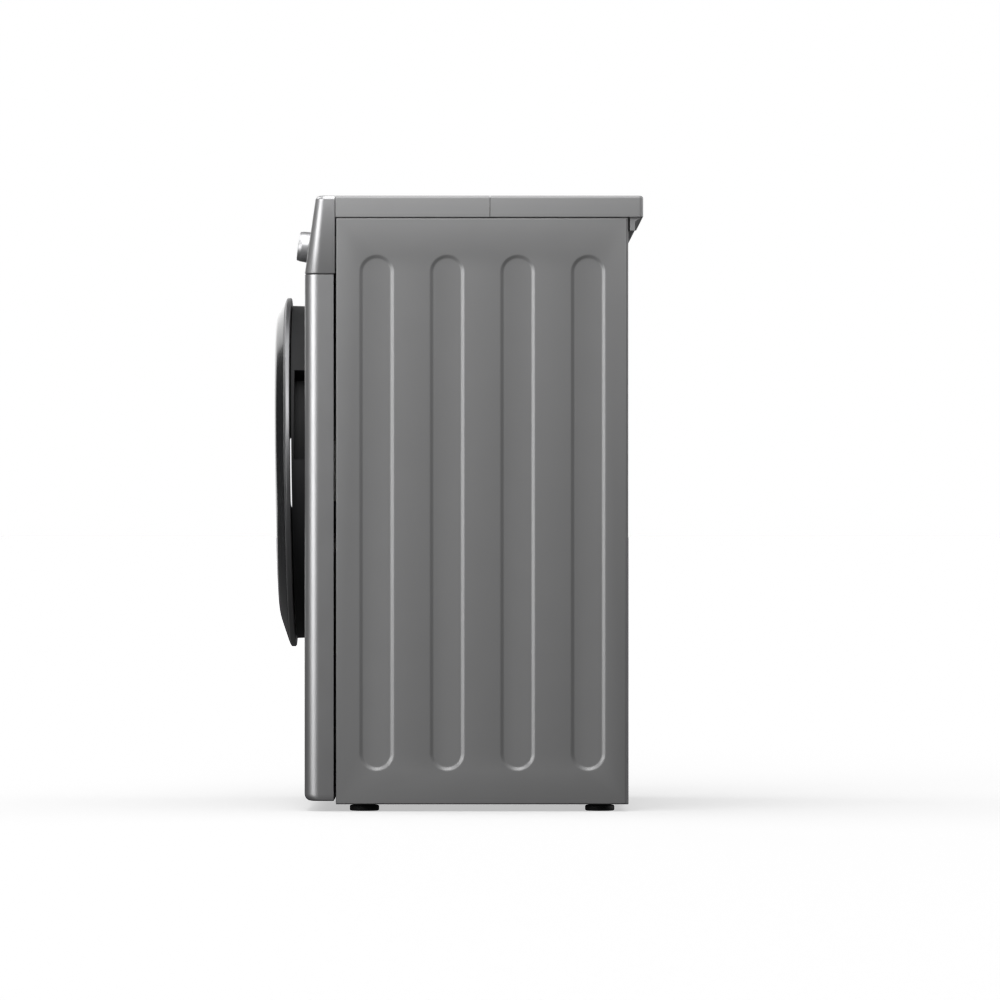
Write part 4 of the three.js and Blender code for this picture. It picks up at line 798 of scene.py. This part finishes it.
# %% [markdown]
# ## The knob and its marks
# The knob is turned from solid: a tapered barrel, a rounded shoulder and a shallow dish in the face, with
# one milled line as a pointer. Small raised dots round it mark the programmes. They need no words.

# %% Turning the knob
KNOB_TIP = -21.7
barrel = [(0, 9), (5, 9), (5, -0.6), (22, -0.6), (21.2, KNOB_TIP + 5), (20, KNOB_TIP), (17.6, KNOB_TIP),
          (16.8, KNOB_TIP + 0.9), (0, KNOB_TIP + 0.9)]
barrel = rounded(barrel, [0, 0.4, 0, 1.2, 5.0, 1.4, 0.5, 0.5, 0], 5)
barrel = [(r, CONTROL_FACE + y) for r, y in barrel]
knob = turned("knob_barrel", barrel, 0, CONTROL_MIDDLE + KNOB_Z, 112, closed=False)
pointer = block(*on_face((-0.8, 0.8), (KNOB_TIP - 1, KNOB_TIP + 1.7), (KNOB_Z + 9, KNOB_Z + 16)), 0.7, 3)
stand_for(leaned(carve(knob, pointer)), "dial_knob", angle=40)

# %% Programme dots round the knob
DOT_RING = 29.5


def round_places(radius, z, first, pitch, count):
    """Places on a circle round the machine's middle, from a first angle and a pitch in degrees."""
    turns = [math.radians(first + pitch * k) for k in range(count)]
    return [(radius * math.cos(a), z + radius * math.sin(a)) for a in turns]


dot = [(r, CONTROL_FACE + y) for r, y in [(0, -0.15), (0.9, -0.12), (1.0, 0.5), (0, 0.5)]]
dots = [turned("dot", dot, x, z, 20, closed=False)
        for x, z in round_places(DOT_RING, CONTROL_MIDDLE + KNOB_Z, -56, 22.5, 14)]


def gather(name, pieces):
    """One object from several, each still its own closed solid."""
    points, faces = [], []
    for piece in pieces:
        start = len(points)
        points += [v.co.copy() for v in piece.data.vertices]
        faces += [tuple(start + i for i in f.vertices) for f in piece.data.polygons]
        bpy.data.objects.remove(piece)
    mesh = bpy.data.meshes.new(name)
    mesh.from_pydata(points, [], faces)
    return link(name, mesh)


fasten(leaned(gather("programme_dots", dots)), "cabinet", "white_plastic")

# %% [markdown]
# ## The drawer's front
# The slab carries on the control panel's slope, so that the closed drawer reads as part of it. It is the
# leaning block again, kept only inside the drawer's opening. A notch under it leaves room for fingers.

# %% The drawer slab and its finger notch
tray_low, tray_high = span("drawer_tray")
slab = carve(control_block("drawer_slab", 0.0), control_block("drawer_slab_room", 4.0))
kept_deep = (-30, tray_low.y - 0.3)
kept_room = block((drawer_low.x, drawer_high.x), kept_deep, (drawer_low.z, drawer_high.z), 3.0, 5)
slab = carve(slab, kept_room, how="INTERSECT")
middle = (drawer_low.x + drawer_high.x) / 2
slab = carve(slab, block((middle - 38, middle + 38), (-10, 30), (drawer_low.z - 8, drawer_low.z + 9), 5.0, 6))
neck = block((middle - 60, middle + 60), (8, tray_low.y - 0.3), (tray_low.z + 4, tray_high.z - 14), 3.0, 4)
stand_for(weld(slab, neck), "drawer_front", edge=0.35)

# %% [markdown]
# ## The door
# The door is a sandwich: a domed black cover, a dark window in it, a satin ring that covers the joint, and
# a matt body behind with the glass bowl. Its flat front sits a little above the door's centre, so the
# bevel is narrow at the top and wide at the foot. Rings whose centres rise as they shrink give that
# shape, with a soft curve over the knee.

# %% The door's front surface as rings
RIM_FRONT, RIM_REAR = -27.6, -21.2
RIM_WIDTH = 6.0
KNEE_R = DOOR_R - 36.5
KNEE_Y = -43.1
KNEE_RISE = 9.5
DOME = 2.9
COVER = 3.0
WINDOW_R = KNEE_R - 37.5
TIP = math.radians(0.75)
BEVEL_SLOPE = (KNEE_Y - RIM_FRONT) / (KNEE_R - DOOR_R)
door_pivot = Vector(metres(0, 0, DOOR_Z))
TIPPED = Matrix.Translation(door_pivot) @ Matrix.Rotation(TIP, 4, "X") @ Matrix.Translation(-door_pivot)


def door_ring(radius, y, rise, steps=160):
    return [(radius * math.cos(a), y, DOOR_Z + rise + radius * math.sin(a))
            for a in (2 * math.pi * i / steps for i in range(steps))]


def dome_y(radius):
    return KNEE_Y - DOME * (1 - (radius / KNEE_R) ** 2)


def tipped(piece):
    piece.data.transform(TIPPED)
    return piece


COVER_R = DOOR_R - RIM_WIDTH - 0.3
cover_y = RIM_FRONT + BEVEL_SLOPE * (COVER_R - DOOR_R)
knee = Vector((KNEE_R, KNEE_Y, KNEE_RISE))
rim = Vector((COVER_R, cover_y, 0.0))
before = knee.lerp(rim, 0.3)
after = Vector((KNEE_R - 11, dome_y(KNEE_R - 11), KNEE_RISE))
surface = [rim.lerp(before, k / 3) for k in range(3)]
for t in (k / 10 for k in range(11)):
    surface.append((1 - t) ** 2 * before + 2 * t * (1 - t) * knee + t * t * after)
surface += [Vector((r, dome_y(r), KNEE_RISE)) for r in (KNEE_R - 20, KNEE_R - 30, WINDOW_R + 0.3)]

# %% The hinge notch that all three door mouldings share
HINGE_X = 13 - DOOR_R
NOTCH_X = HINGE_X + 8.5
NOTCH_HALF = 50.0


def hinge_notch():
    return block((-DOOR_R - 30, NOTCH_X), (-80, 60), (DOOR_Z - NOTCH_HALF, DOOR_Z + NOTCH_HALF), 4.0, 5)


# %% Cover, window and satin ring
cover_rings = [door_ring(r, y, rise) for r, y, rise in surface]
cover_rings += [door_ring(r, y + COVER, rise) for r, y, rise in reversed(surface)]
cover = carve(skinned("door_black_cover", cover_rings, loop=True), hinge_notch())
stand_for(tipped(cover), "door_outer_cover", edge=0.45, angle=25)

pane_rings = [door_ring(WINDOW_R, dome_y(WINDOW_R) + COVER, KNEE_RISE)]
pane_rings += [door_ring(r, dome_y(r), KNEE_RISE) for r in (WINDOW_R, 165, 150, 130, 105, 80, 55, 30, 10)]
stand_for(tipped(skinned("door_dark_window", pane_rings)), "door_window", edge=0.5, angle=25)

inner = DOOR_R - RIM_WIDTH
band = [(DOOR_R - 1.2, RIM_REAR), (inner - 9, RIM_REAR), (inner - 9, RIM_REAR - 2), (inner, RIM_REAR - 3),
        (inner, RIM_FRONT - BEVEL_SLOPE * RIM_WIDTH), (DOOR_R - 1.2, RIM_FRONT - 0.4),
        (DOOR_R, RIM_FRONT + 0.8), (DOOR_R, RIM_REAR - 1)]
band = rounded(band, [0.6, 0, 0, 0, 0.8, 1.2, 1.0, 0.6], 4)
ring = carve(turned("door_satin_band", band, 0, DOOR_Z, 176), hinge_notch())
stand_for(tipped(ring), "door_trim_ring", edge=0.2)

# %% The matt body behind, with the finger pocket
FRAME_FRONT, FRAME_REAR = -19.6, 8.0
BODY_FRONT_R = DOOR_R - 11.3
BODY_REAR_R = BODY_FRONT_R - 2
HOLE_R = MOUTH_R - 32
BOWL_R = HOLE_R - 3
POCKET = (math.radians(4), math.radians(37))
POCKET_FLOOR_R = BODY_FRONT_R - 24.7


def sector(name, radii, y, angles, steps=28):
    """Part of a ring between two angles, from the right side upward."""
    sweep = [angles[0] + (angles[1] - angles[0]) * k / steps for k in range(steps + 1)]
    outline = [(radii[1] * math.cos(a), radii[1] * math.sin(a)) for a in sweep]
    outline += [(radii[0] * math.cos(a), radii[0] * math.sin(a)) for a in reversed(sweep)]
    return skinned(name, [[(x, d, DOOR_Z + z) for x, z in outline] for d in y])


back = FRAME_REAR - COVER
body = [(BODY_FRONT_R, FRAME_FRONT), (BODY_FRONT_R - 0.6, -1), (BODY_REAR_R, 0),
        (BODY_REAR_R - 2, FRAME_REAR), (HOLE_R, FRAME_REAR), (HOLE_R, back), (BODY_REAR_R - COVER - 2, back),
        (BODY_FRONT_R - COVER - 1, FRAME_FRONT)]
body = rounded(body, [0, 0, 0, 3.5, 1.2, 0, 2.0, 0], 5)
frame_body = turned("door_matt_body", body, 0, DOOR_Z, 160)
for corner in frame_body.data.vertices:
    if corner.co.y - PANEL_Y < (FRAME_FRONT + 1) * MM:
        corner.co.y -= (corner.co.z - DOOR_Z * MM) * math.tan(TIP)
lip_angle = 0.015
pocket_front = FRAME_FRONT - (BODY_FRONT_R * math.sin(POCKET[0]) - 1) * math.tan(TIP)
pocket_walls = sector("pocket_walls", (POCKET_FLOOR_R - 3, BODY_REAR_R - 1), (pocket_front, back + 1),
                      (POCKET[0] - lip_angle, POCKET[1] + lip_angle))
arm_seat = block((HINGE_X + 28, HINGE_X + 55), (-14, back + 1), (DOOR_Z - 24, DOOR_Z + 24), 3.0, 4)
hook_boss = block((HOOK_X - 16, HOOK_X + 10), (-6, back + 1), (DOOR_Z - 15, DOOR_Z + 15), 3.0, 4)
frame_body = weld(frame_body, pocket_walls, arm_seat, hook_boss)
frame_body = carve(
    frame_body, sector("pocket_room", (POCKET_FLOOR_R, DOOR_R), (FRAME_FRONT + 3, back - 3), POCKET),
    block((HOOK_X - 6, HOOK_X + 6), (-8, 12), (DOOR_Z - 8.5, DOOR_Z + 8.5), 1.5, 3), hinge_notch())
stand_for(frame_body, "door_inner_frame", edge=0.5)

# %% [markdown]
# ## The glass bowl and the screws behind the door
# The bowl is pressed from thick tinted glass, so every bend is wide. It keeps the washing off the seal.
# Eight screws hold the door's body to its cover, and only show with the door open.

# %% The bowl, turned as one wall with wide bends
BOWL_WALL = 4.0
BOWL_REACH = 62.0
seat = back - 0.3
glass = [(BOWL_R + 14, seat), (BOWL_R, seat), (BOWL_R - 3, BOWL_REACH - 16), (BOWL_R - 14, BOWL_REACH - 4),
         (BOWL_R - 40, BOWL_REACH), (0, BOWL_REACH), (0, BOWL_REACH - BOWL_WALL),
         (BOWL_R - 41, BOWL_REACH - BOWL_WALL), (BOWL_R - 16.5, BOWL_REACH - 7.5),
         (BOWL_R - 7, BOWL_REACH - 17), (BOWL_R - 4, seat - 4), (BOWL_R + 14, seat - 4)]
glass = rounded(glass, [0.8, 2, 12, 10, 30, 0, 0, 30, 8, 9, 4, 0.8], 6)
stand_for(turned("pressed_glass_bowl", glass, 0, DOOR_Z, 144), "door_glass_bowl", angle=50)

# %% Screws, in one object for each panel
SCREW_R = 3.4


def screws(name, places, face_y, body):
    """Domed screw heads on a face that looks to the rear."""
    head = [(0, 1.0), (SCREW_R * 0.42, 1.0), (SCREW_R * 0.5, 1.7), (SCREW_R * 0.75, 1.5), (SCREW_R, 0.4),
            (SCREW_R, -0.4), (0, -0.4)]
    head = [(r, face_y + h) for r, h in head]
    made = [turned("screw", head, x, z, 24, closed=False) for x, z in places]
    return fasten(gather(name, made), body, "stainless", angle=50)


DOOR_SCREWS_R = 205
screws("door_body_screws", round_places(DOOR_SCREWS_R, DOOR_Z, 52, 36.5, 8), FRAME_REAR, "door")

# %% [markdown]
# ## The seal
# The grey rubber seal joins the cabinet to the swinging tub, so it has folds that take up the movement. It
# is turned from a folded outline with rounded bends. It rides on no body and stays where it is made.

# %% The folded seal
TUB_MOUTH_R = MOUTH_R - 7.5
TUB_FRONT = span("counterweight")[1].y + 0.3
clip, tub_ring = MOUTH_R - 0.3, TUB_MOUTH_R + 3.3
folds = [(clip, DISH_DEPTH + 1), (clip - 3, DISH_DEPTH + 1), (clip - 4, 29), (BOWL_R + 3, 34),
         (BOWL_R + 1, 40), (BOWL_R + 4, 40), (clip + 1, 36), (clip + 3, 46), (tub_ring, 50),
         (tub_ring, TUB_FRONT - 0.3), (tub_ring + 3, TUB_FRONT - 0.3), (tub_ring + 3.5, 53), (clip + 9, 48),
         (clip + 5, 31), (clip, 28)]
folds = rounded(folds, [0.8, 1.2, 3, 2.5, 0.8, 0.8, 3, 3, 1.5, 0.8, 0.8, 1.5, 3, 2, 0.6], 4)
seal = turned("folded_seal", folds, 0, DOOR_Z, 144)
stand_for(seal, "door_gasket", angle=50, rides=False)
metres(0, 38, DOOR_Z)
metres(0, 50, DOOR_Z)
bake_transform(seal)

# %% [markdown]
# ## The tub
# Two white mouldings meet at a flange. The front one has the mouth for the seal, the rear one carries the
# bearing hub, the spring and damper lugs and a fan of ribs that stiffen its back.

# %% Front and rear mouldings
TUB_Z = DOOR_Z
TUB_R = 262.0
TUB_FLANGE = 8.0
TUB_SPLIT = span("tub_front")[1].y
TUB_REAR = 380.0
HUB_R = 42.0
SHAFT_R = 15.0
bell = [(TUB_MOUTH_R, 51), (TUB_MOUTH_R, TUB_FRONT + 3), (TUB_R - 9, TUB_FRONT + 3),
        (TUB_R - 3, TUB_FRONT + 9), (TUB_R - 3, TUB_SPLIT), (TUB_R + TUB_FLANGE, TUB_SPLIT),
        (TUB_R + TUB_FLANGE, TUB_SPLIT - 5), (TUB_R, TUB_SPLIT - 5), (TUB_R, TUB_FRONT + 6),
        (TUB_R - 6, TUB_FRONT), (TUB_MOUTH_R + 3, TUB_FRONT), (TUB_MOUTH_R + 3, 51)]
bell = rounded(bell, [1, 3, 3, 3, 0, 0.8, 0.8, 1.5, 4, 4, 1.5, 1], 4)
stand_for(turned("tub_moulding_front", bell, 0, TUB_Z, 144), "tub_front", angle=35)

start = TUB_SPLIT + 0.3
shell = [(TUB_R + TUB_FLANGE, start), (TUB_R - 3, start), (TUB_R - 3, TUB_REAR - 10),
         (TUB_R - 9, TUB_REAR - 3), (HUB_R, TUB_REAR - 3), (HUB_R, TUB_REAR - 12),
         (SHAFT_R + 0.35, TUB_REAR - 12), (SHAFT_R + 0.35, TUB_REAR + 26), (HUB_R, TUB_REAR + 26),
         (HUB_R, TUB_REAR), (TUB_R - 6, TUB_REAR), (TUB_R, TUB_REAR - 6), (TUB_R, start + 5),
         (TUB_R + TUB_FLANGE, start + 5)]
shell = rounded(shell, [0.8, 0, 4, 4, 1, 1, 0, 0.8, 1.5, 2, 3, 3, 1.5, 0.8], 4)
rear_tub = turned("tub_moulding_rear", shell, 0, TUB_Z, 144)
spring_foot = span("suspension_spring_right")[0].z
DAMPER_LUG = ((141, 159), (190, 210), (236, 262))
SPRING_LUG = ((228, 250), (284, 300), (589, spring_foot - 1.4))
lugs = [block(sorted(side * x for x in across), deep, tall, 2.0, 3)
        for side in (-1, 1) for across, deep, tall in (DAMPER_LUG, SPRING_LUG)]
# The ribs leave the foot clear, where the heater's legs pass.
ribs = []
for k in range(22):
    a = math.radians(-66 + 228 / 17 * k) if k < 18 else math.radians(186 + 12 * (k - 18))
    ribs.append(((math.cos(a), math.sin(a)), (-math.sin(a), math.cos(a))))


def rib(along, across):
    outlines = []
    for depth, half in ((TUB_REAR - 1, 1.6), (TUB_REAR + 5, 1.0)):
        outlines.append([(r * along[0] + w * across[0], depth, TUB_Z + r * along[1] + w * across[1])
                         for r, w in ((120, -half), (246, -half), (246, half), (120, half))])
    return skinned("rib", outlines)


rear_tub = weld(rear_tub, *lugs, *[rib(*r) for r in ribs])
rear_tub = carve(rear_tub, rod(TUB_R - 3, (start + 0.1, TUB_REAR - 10), 0, TUB_Z, 144),
                 *[rod(5, (TUB_REAR - 20, TUB_REAR + 10), x, TUB_Z - 249.5, 32) for x in (-18, 18)])
stand_for(rear_tub, "tub_rear", angle=35)

# %% [markdown]
# ## The drum
# The drum is thin stainless sheet, punched with holes all round. Each hole is a real opening: the wall is
# a grid of square cells, and in each cell eight faces run from the square's edge to a small circle.
# Solidify then gives the sheet its thickness, holes included.

# %% The punched drum
DRUM_R = 240.0
DRUM_FRONT, DRUM_REAR = 74.0, 358.0
CELLS_ROUND, CELLS_DEEP = 84, 14
HOLE = 2.6


def punched_drum():
    points, faces, index = [], [], {}
    y0, y1 = DRUM_FRONT + 12, DRUM_REAR - 6
    row = (y1 - y0) / (2 * CELLS_DEEP)
    turn = 2 * math.pi / (2 * CELLS_ROUND)

    def corner(i, j):
        key = (i % (2 * CELLS_ROUND), j)
        if key not in index:
            index[key] = len(points)
            angle = key[0] * turn
            points.append((DRUM_R * math.cos(angle), y0 + j * row, TUB_Z + DRUM_R * math.sin(angle)))
        return index[key]

    def ring(radius, y):
        first = len(points)
        for i in range(2 * CELLS_ROUND):
            points.append((radius * math.cos(i * turn), y, TUB_Z + radius * math.sin(i * turn)))
        return list(range(first, first + 2 * CELLS_ROUND))

    around = [(0, 0), (1, 0), (2, 0), (2, 1), (2, 2), (1, 2), (0, 2), (0, 1)]
    for i in range(0, 2 * CELLS_ROUND, 2):
        for j in range(0, 2 * CELLS_DEEP, 2):
            rim_at = [corner(i + a, j + b) for a, b in around]
            first = len(points)
            for k in range(8):
                bearing = math.radians(-135 + 45 * k)
                angle = (i + 1) * turn + HOLE * math.cos(bearing) / DRUM_R
                points.append((DRUM_R * math.cos(angle), y0 + (j + 1) * row + HOLE * math.sin(bearing),
                               TUB_Z + DRUM_R * math.sin(angle)))
            faces += [(rim_at[k], rim_at[(k + 1) % 8], first + (k + 1) % 8, first + k) for k in range(8)]
    lip = [(188, DRUM_FRONT - 3), (188, DRUM_FRONT), (DRUM_R, DRUM_FRONT), (DRUM_R, y0)]
    front_curve = rounded(lip, [0, 1, 12, 0], 6, closed=False)[:-1]
    dish = [(DRUM_R, y1), (DRUM_R, DRUM_REAR), (165, DRUM_REAR), (155, DRUM_REAR - 4), (62, DRUM_REAR - 4),
            (52, DRUM_REAR), (30, DRUM_REAR)]
    rear_curve = rounded(dish, [0, 6, 5, 5, 5, 5, 0], 5, closed=False)[1:]
    for curve, join_row in ((list(reversed(front_curve)), 0), (rear_curve, 2 * CELLS_DEEP)):
        last = [corner(i, join_row) for i in range(2 * CELLS_ROUND)]
        for radius, y in curve:
            now = ring(radius, y)
            ahead = [(i + 1) % len(now) for i in range(len(now))]
            faces += [(last[i], last[j], now[j], now[i]) for i, j in enumerate(ahead)]
            last = now
    return new_piece("punched_drum", points, faces)


drum = punched_drum()
sheet = drum.modifiers.new("sheet_thickness", "SOLIDIFY")
sheet.thickness = SHEET * MM
sheet.offset = -1.0
stand_for(drum, "drum_shell", angle=35)

# %% Lifters on the drum's wall
for index in range(3):
    node = f"drum_baffle_{index + 1}"
    turn = math.radians(90 + 120 * index)
    outlines = []
    for depth, height, width in [(98, 16, 20), (99.5, 26, 24), (104, 35, 27), (114, 42, 29), (130, 44, 30),
                                 (302, 44, 30), (318, 42, 29), (328, 35, 27), (332.5, 26, 24), (334, 16, 20)]:
        top = rounded([(-width, 0), (-7, -height), (7, -height), (width, 0)], [0, 9, 9, 0], 6)
        base = [(u, 0) for u in (width * 0.5, 0, -width * 0.5)]
        outline = []
        for u, v in top + base:
            r = math.sqrt(237.6 ** 2 - u * u) + v if v == 0 else 237.6 + v
            outline.append((r * math.cos(turn) - u * math.sin(turn), depth,
                            TUB_Z + r * math.sin(turn) + u * math.cos(turn)))
        outlines.append(outline)
    stand_for(skinned(f"lifter_{index + 1}", outlines), node, edge=0.8, angle=45)

# %% The rotor's pressed cup
ROTOR_REAR = 432.0
cup = [(113, TUB_REAR + 6), (108, TUB_REAR + 6), (108, ROTOR_REAR - 6), (27.3, ROTOR_REAR - 6),
       (27.3, ROTOR_REAR - 14), (15.3, ROTOR_REAR - 14), (15.3, ROTOR_REAR), (60, ROTOR_REAR),
       (66, ROTOR_REAR - 2), (96, ROTOR_REAR - 2), (102, ROTOR_REAR), (113, ROTOR_REAR)]
cup = rounded(cup, [0.8, 0.8, 2, 1.5, 0.6, 0.6, 0.8, 2, 2, 2, 2, 4], 4)
stand_for(turned("rotor_cup", cup, 0, TUB_Z, 128), "rotor", angle=40)

# %% [markdown]
# ## Springs and feet
# Two coil springs hang the tub. Each is a round wire swept along a helix that narrows at both ends. Each
# spring rides on no body and stays where it is made. The four feet are pads on threaded stems, each turned
# from one outline, with a groove for every thread.

# %% A wire swept along a path
def swept(name, path, radius, sides=10):
    outlines = []
    side = None
    for i, here in enumerate(path):
        ahead = (path[min(i + 1, len(path) - 1)] - path[max(i - 1, 0)]).normalized()
        side = (side or ahead.orthogonal())
        side = (side - ahead * side.dot(ahead)).normalized()
        other = ahead.cross(side)
        outlines.append([tuple(here + radius * (side * math.cos(a) + other * math.sin(a)))
                         for a in (2 * math.pi * k / sides for k in range(sides))])
    return skinned(name, outlines)


COILS = 15
WIRE = 1.7
for word, side in (("left", -1), ("right", 1)):
    node = f"suspension_spring_{word}"
    low, high = span(node)
    x, y = (low.x + high.x) / 2, (low.y + high.y) / 2
    path = []
    for k in range(COILS * 18 + 1):
        t = k / (COILS * 18)
        end = min(1.0, min(t, 1 - t) * COILS / 1.2)
        radius = 9.0 * (0.25 + 0.75 * math.sin(end * math.pi / 2))
        a = t * COILS * 2 * math.pi
        path.append(Vector((x + radius * math.cos(a), y + radius * math.sin(a),
                            low.z + WIRE + 0.4 + t * (high.z - low.z - 2 * WIRE - 0.8))))
    coil = swept(f"hanging_spring_{word}", path, WIRE)
    stand_for(coil, node, angle=60, rides=False)
    metres(x, y, high.z)
    metres(x, y, low.z)
    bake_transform(coil)

# %% Feet with threaded stems
def column(name, profile, x, y, steps=40):
    """A pillar turned about an upright axis, from (radius, height) points, foot first."""
    return skinned(name, [[(x + r * math.cos(a), y + r * math.sin(a), z)
                           for a in (2 * math.pi * k / steps for k in range(steps))] for r, z in profile])


for k in range(1, 5):
    low, high = span(f"levelling_foot_{k}")
    x, y = (low.x + high.x) / 2, (low.y + high.y) / 2
    pad = [(18.4, 0), (19.6, 0.5), (20, 1.6), (20, 5.6), (19.2, 7.2), (14, 8.4), (8, 9), (4.9, 9.2)]
    thread = [(4.95 if n % 2 else 4.3, 9.6 + 0.75 * n) for n in range(48)]
    foot = column(f"foot_{k}_pad_and_stem", pad + thread + [(4.2, 45.4), (3.6, 46)], x, y)
    stand_for(foot, f"levelling_foot_{k}", angle=35)

# %% [markdown]
# ## The back of the machine
# The rear is a shallow tray of zinc-coated sheet, stiffened by raised ribs, with a round service cover
# over the motor, the valve's opening, the mains gland and the drain. Four black plugs mark where the
# transit bolts go. The layout is a typical one for machines of this size.

# %% The rear tray with ribs and vents
rear_low, rear_high = span("rear_panel")
REAR_Y = rear_high.y
INLET_AT = (180.0, HEIGHT - 80)
GLAND_AT = (-200.0, HEIGHT - 85)
DRAIN_AT = (-190.0, 110.0)
tray = block((rear_low.x, rear_high.x), (REAR_Y - 12, REAR_Y), (rear_low.z, rear_high.z), 3.0, 5, "rear_tray")
room_inside = block((rear_low.x + SHEET, rear_high.x - SHEET), (REAR_Y - 14, REAR_Y - SHEET),
                    (rear_low.z + SHEET, rear_high.z - SHEET), 2.0, 5)
tray = carve(tray, room_inside, rod(140, (REAR_Y - 5, REAR_Y + 5), 0, TUB_Z, 96),
             block((INLET_AT[0] - 24, INLET_AT[0] + 24), (REAR_Y - 5, REAR_Y + 5),
                   (INLET_AT[1] - 24, INLET_AT[1] + 24), 4.0, 5),
             rod(9, (REAR_Y - 5, REAR_Y + 5), *GLAND_AT), rod(17, (REAR_Y - 5, REAR_Y + 5), *DRAIN_AT))
VENTS = [(x, z) for x in (-150, -90, -30) for z in range(700, 761, 12)]
tray = carve(tray, *[block((x, x + 44), (REAR_Y - 5, REAR_Y + 5), (z, z + 4.5), 2.2, 4) for x, z in VENTS])


def pressed_rib(x, z, radius=11.0):
    """A raised rib between two widths and two heights, with sloping sides."""
    outlines = []
    for depth, shrink in ((REAR_Y - 0.4, 0.0), (REAR_Y + 0.3, 0.4), (REAR_Y + 1.4, 2.4), (REAR_Y + 1.8, 4.4)):
        left, right, foot, top = x[0] + shrink, x[1] - shrink, z[0] + shrink, z[1] - shrink
        corners = [(left, foot), (right, foot), (right, top), (left, top)]
        outlines.append([(a, depth, b) for a, b in rounded(corners, radius - shrink, 6)])
    return skinned("rib", outlines)


rear_ribs = [pressed_rib((x - 12, x + 12), (z, z + 190)) for x in (-222, 222) for z in (180, 440)]
rear_ribs += [pressed_rib((-110, 110), (z, z + 24)) for z in (60, 120, 180, 240)]
tray = weld(tray, *rear_ribs)
stand_for(tray, "rear_panel", edge=0.3)

# %% Service cover, transit plugs and screws
lift = REAR_Y + 0.3
disc = [(0, lift), (150, lift), (150, lift + SHEET), (132, lift + SHEET), (128, lift + 2.6), (98, lift + 2.6),
        (94, lift + 1.5), (60, lift + 1.5), (56, lift + 2.6), (0, lift + 2.6)]
disc = rounded(disc, [0, 0.3, 0.5, 2, 2, 2, 2, 2, 2, 0], 4)
stand_for(turned("motor_service_cover", disc, 0, TUB_Z, 128, closed=False), "rear_service_cover", angle=40)
plug_profile = [(r, REAR_Y + rise) for r, rise in [(0, 3.2), (9, 2.9), (14, 1.9), (16, 0.3), (0, 0.3)]]
plugs = [turned("plug", plug_profile, x, z, 48, closed=False)
         for x, z in ((-175, 330), (175, 330), (-175, 655), (175, 655))]
fasten(gather("transit_plugs", plugs), "cabinet", "matt_black", angle=40)
COVER_SCREWS_R = 141
screws("cover_screws", round_places(COVER_SCREWS_R, TUB_Z, 22.5, 45, 8), lift + SHEET, "cabinet")
edge_places = [(side * 278, z) for side in (-1, 1) for z in (40, 220, 400, 580, 790)]
edge_places += [(x, z) for x in (-140, 0, 140) for z in (28, 802)]
screws("rear_panel_screws", edge_places, REAR_Y, "cabinet")

# %% [markdown]
# ## Pieces that keep the frame's own mesh
# Brackets, housings and fittings already have their real shape. They keep their mesh and get smooth
# shading below a set angle, a broken edge and their finish. The shading is a small Geometry Nodes
# modifier, because the frame's meshes themselves are never edited.

# %% Smooth shading by angle, as a modifier
def smoothing_nodes():
    group = bpy.data.node_groups.new("smooth_below_angle", "GeometryNodeTree")
    group.interface.new_socket("Geometry", in_out="INPUT", socket_type="NodeSocketGeometry")
    group.interface.new_socket("Geometry", in_out="OUTPUT", socket_type="NodeSocketGeometry")
    came = group.nodes.new("NodeGroupInput")
    left = group.nodes.new("NodeGroupOutput")
    merge = group.nodes.new("GeometryNodeMergeByDistance")
    merge.inputs["Distance"].default_value = 0.00001
    faces = group.nodes.new("GeometryNodeSetShadeSmooth")
    edges = group.nodes.new("GeometryNodeSetShadeSmooth")
    edges.domain = "EDGE"
    edges.inputs["Shade Smooth"].default_value = False
    angle = group.nodes.new("GeometryNodeInputMeshEdgeAngle")
    steep = group.nodes.new("FunctionNodeCompare")
    steep.operation = "GREATER_THAN"
    steep.inputs[1].default_value = math.radians(32)
    wires = [(came, merge, "Geometry"), (merge, faces, "Geometry"), (faces, edges, "Geometry"),
             (angle, steep, 0), (steep, edges, "Selection"), (edges, left, 0)]
    for first, second, plug in wires:
        group.links.new(first.outputs[0], second.inputs[plug])
    return group


SMOOTHING = smoothing_nodes()
KEPT_EDGE = 0.5
for node, body in frame["nodes"].items():
    body.data.materials.clear()
    body.data.materials.append(FINISHES[SLOT_OF[node]])
    if not body.hide_render:
        shading = body.modifiers.new("smooth_below_angle", "NODES")
        shading.node_group = SMOOTHING
        bevel = body.modifiers.new("broken_edge", "BEVEL")
        bevel.width = KEPT_EDGE * MM
        bevel.segments = 2
        bevel.limit_method = "ANGLE"
        bevel.angle_limit = math.radians(40)
        bevel.harden_normals = True
print("kept:", sorted(n for n, body in frame["nodes"].items() if not body.hide_render))
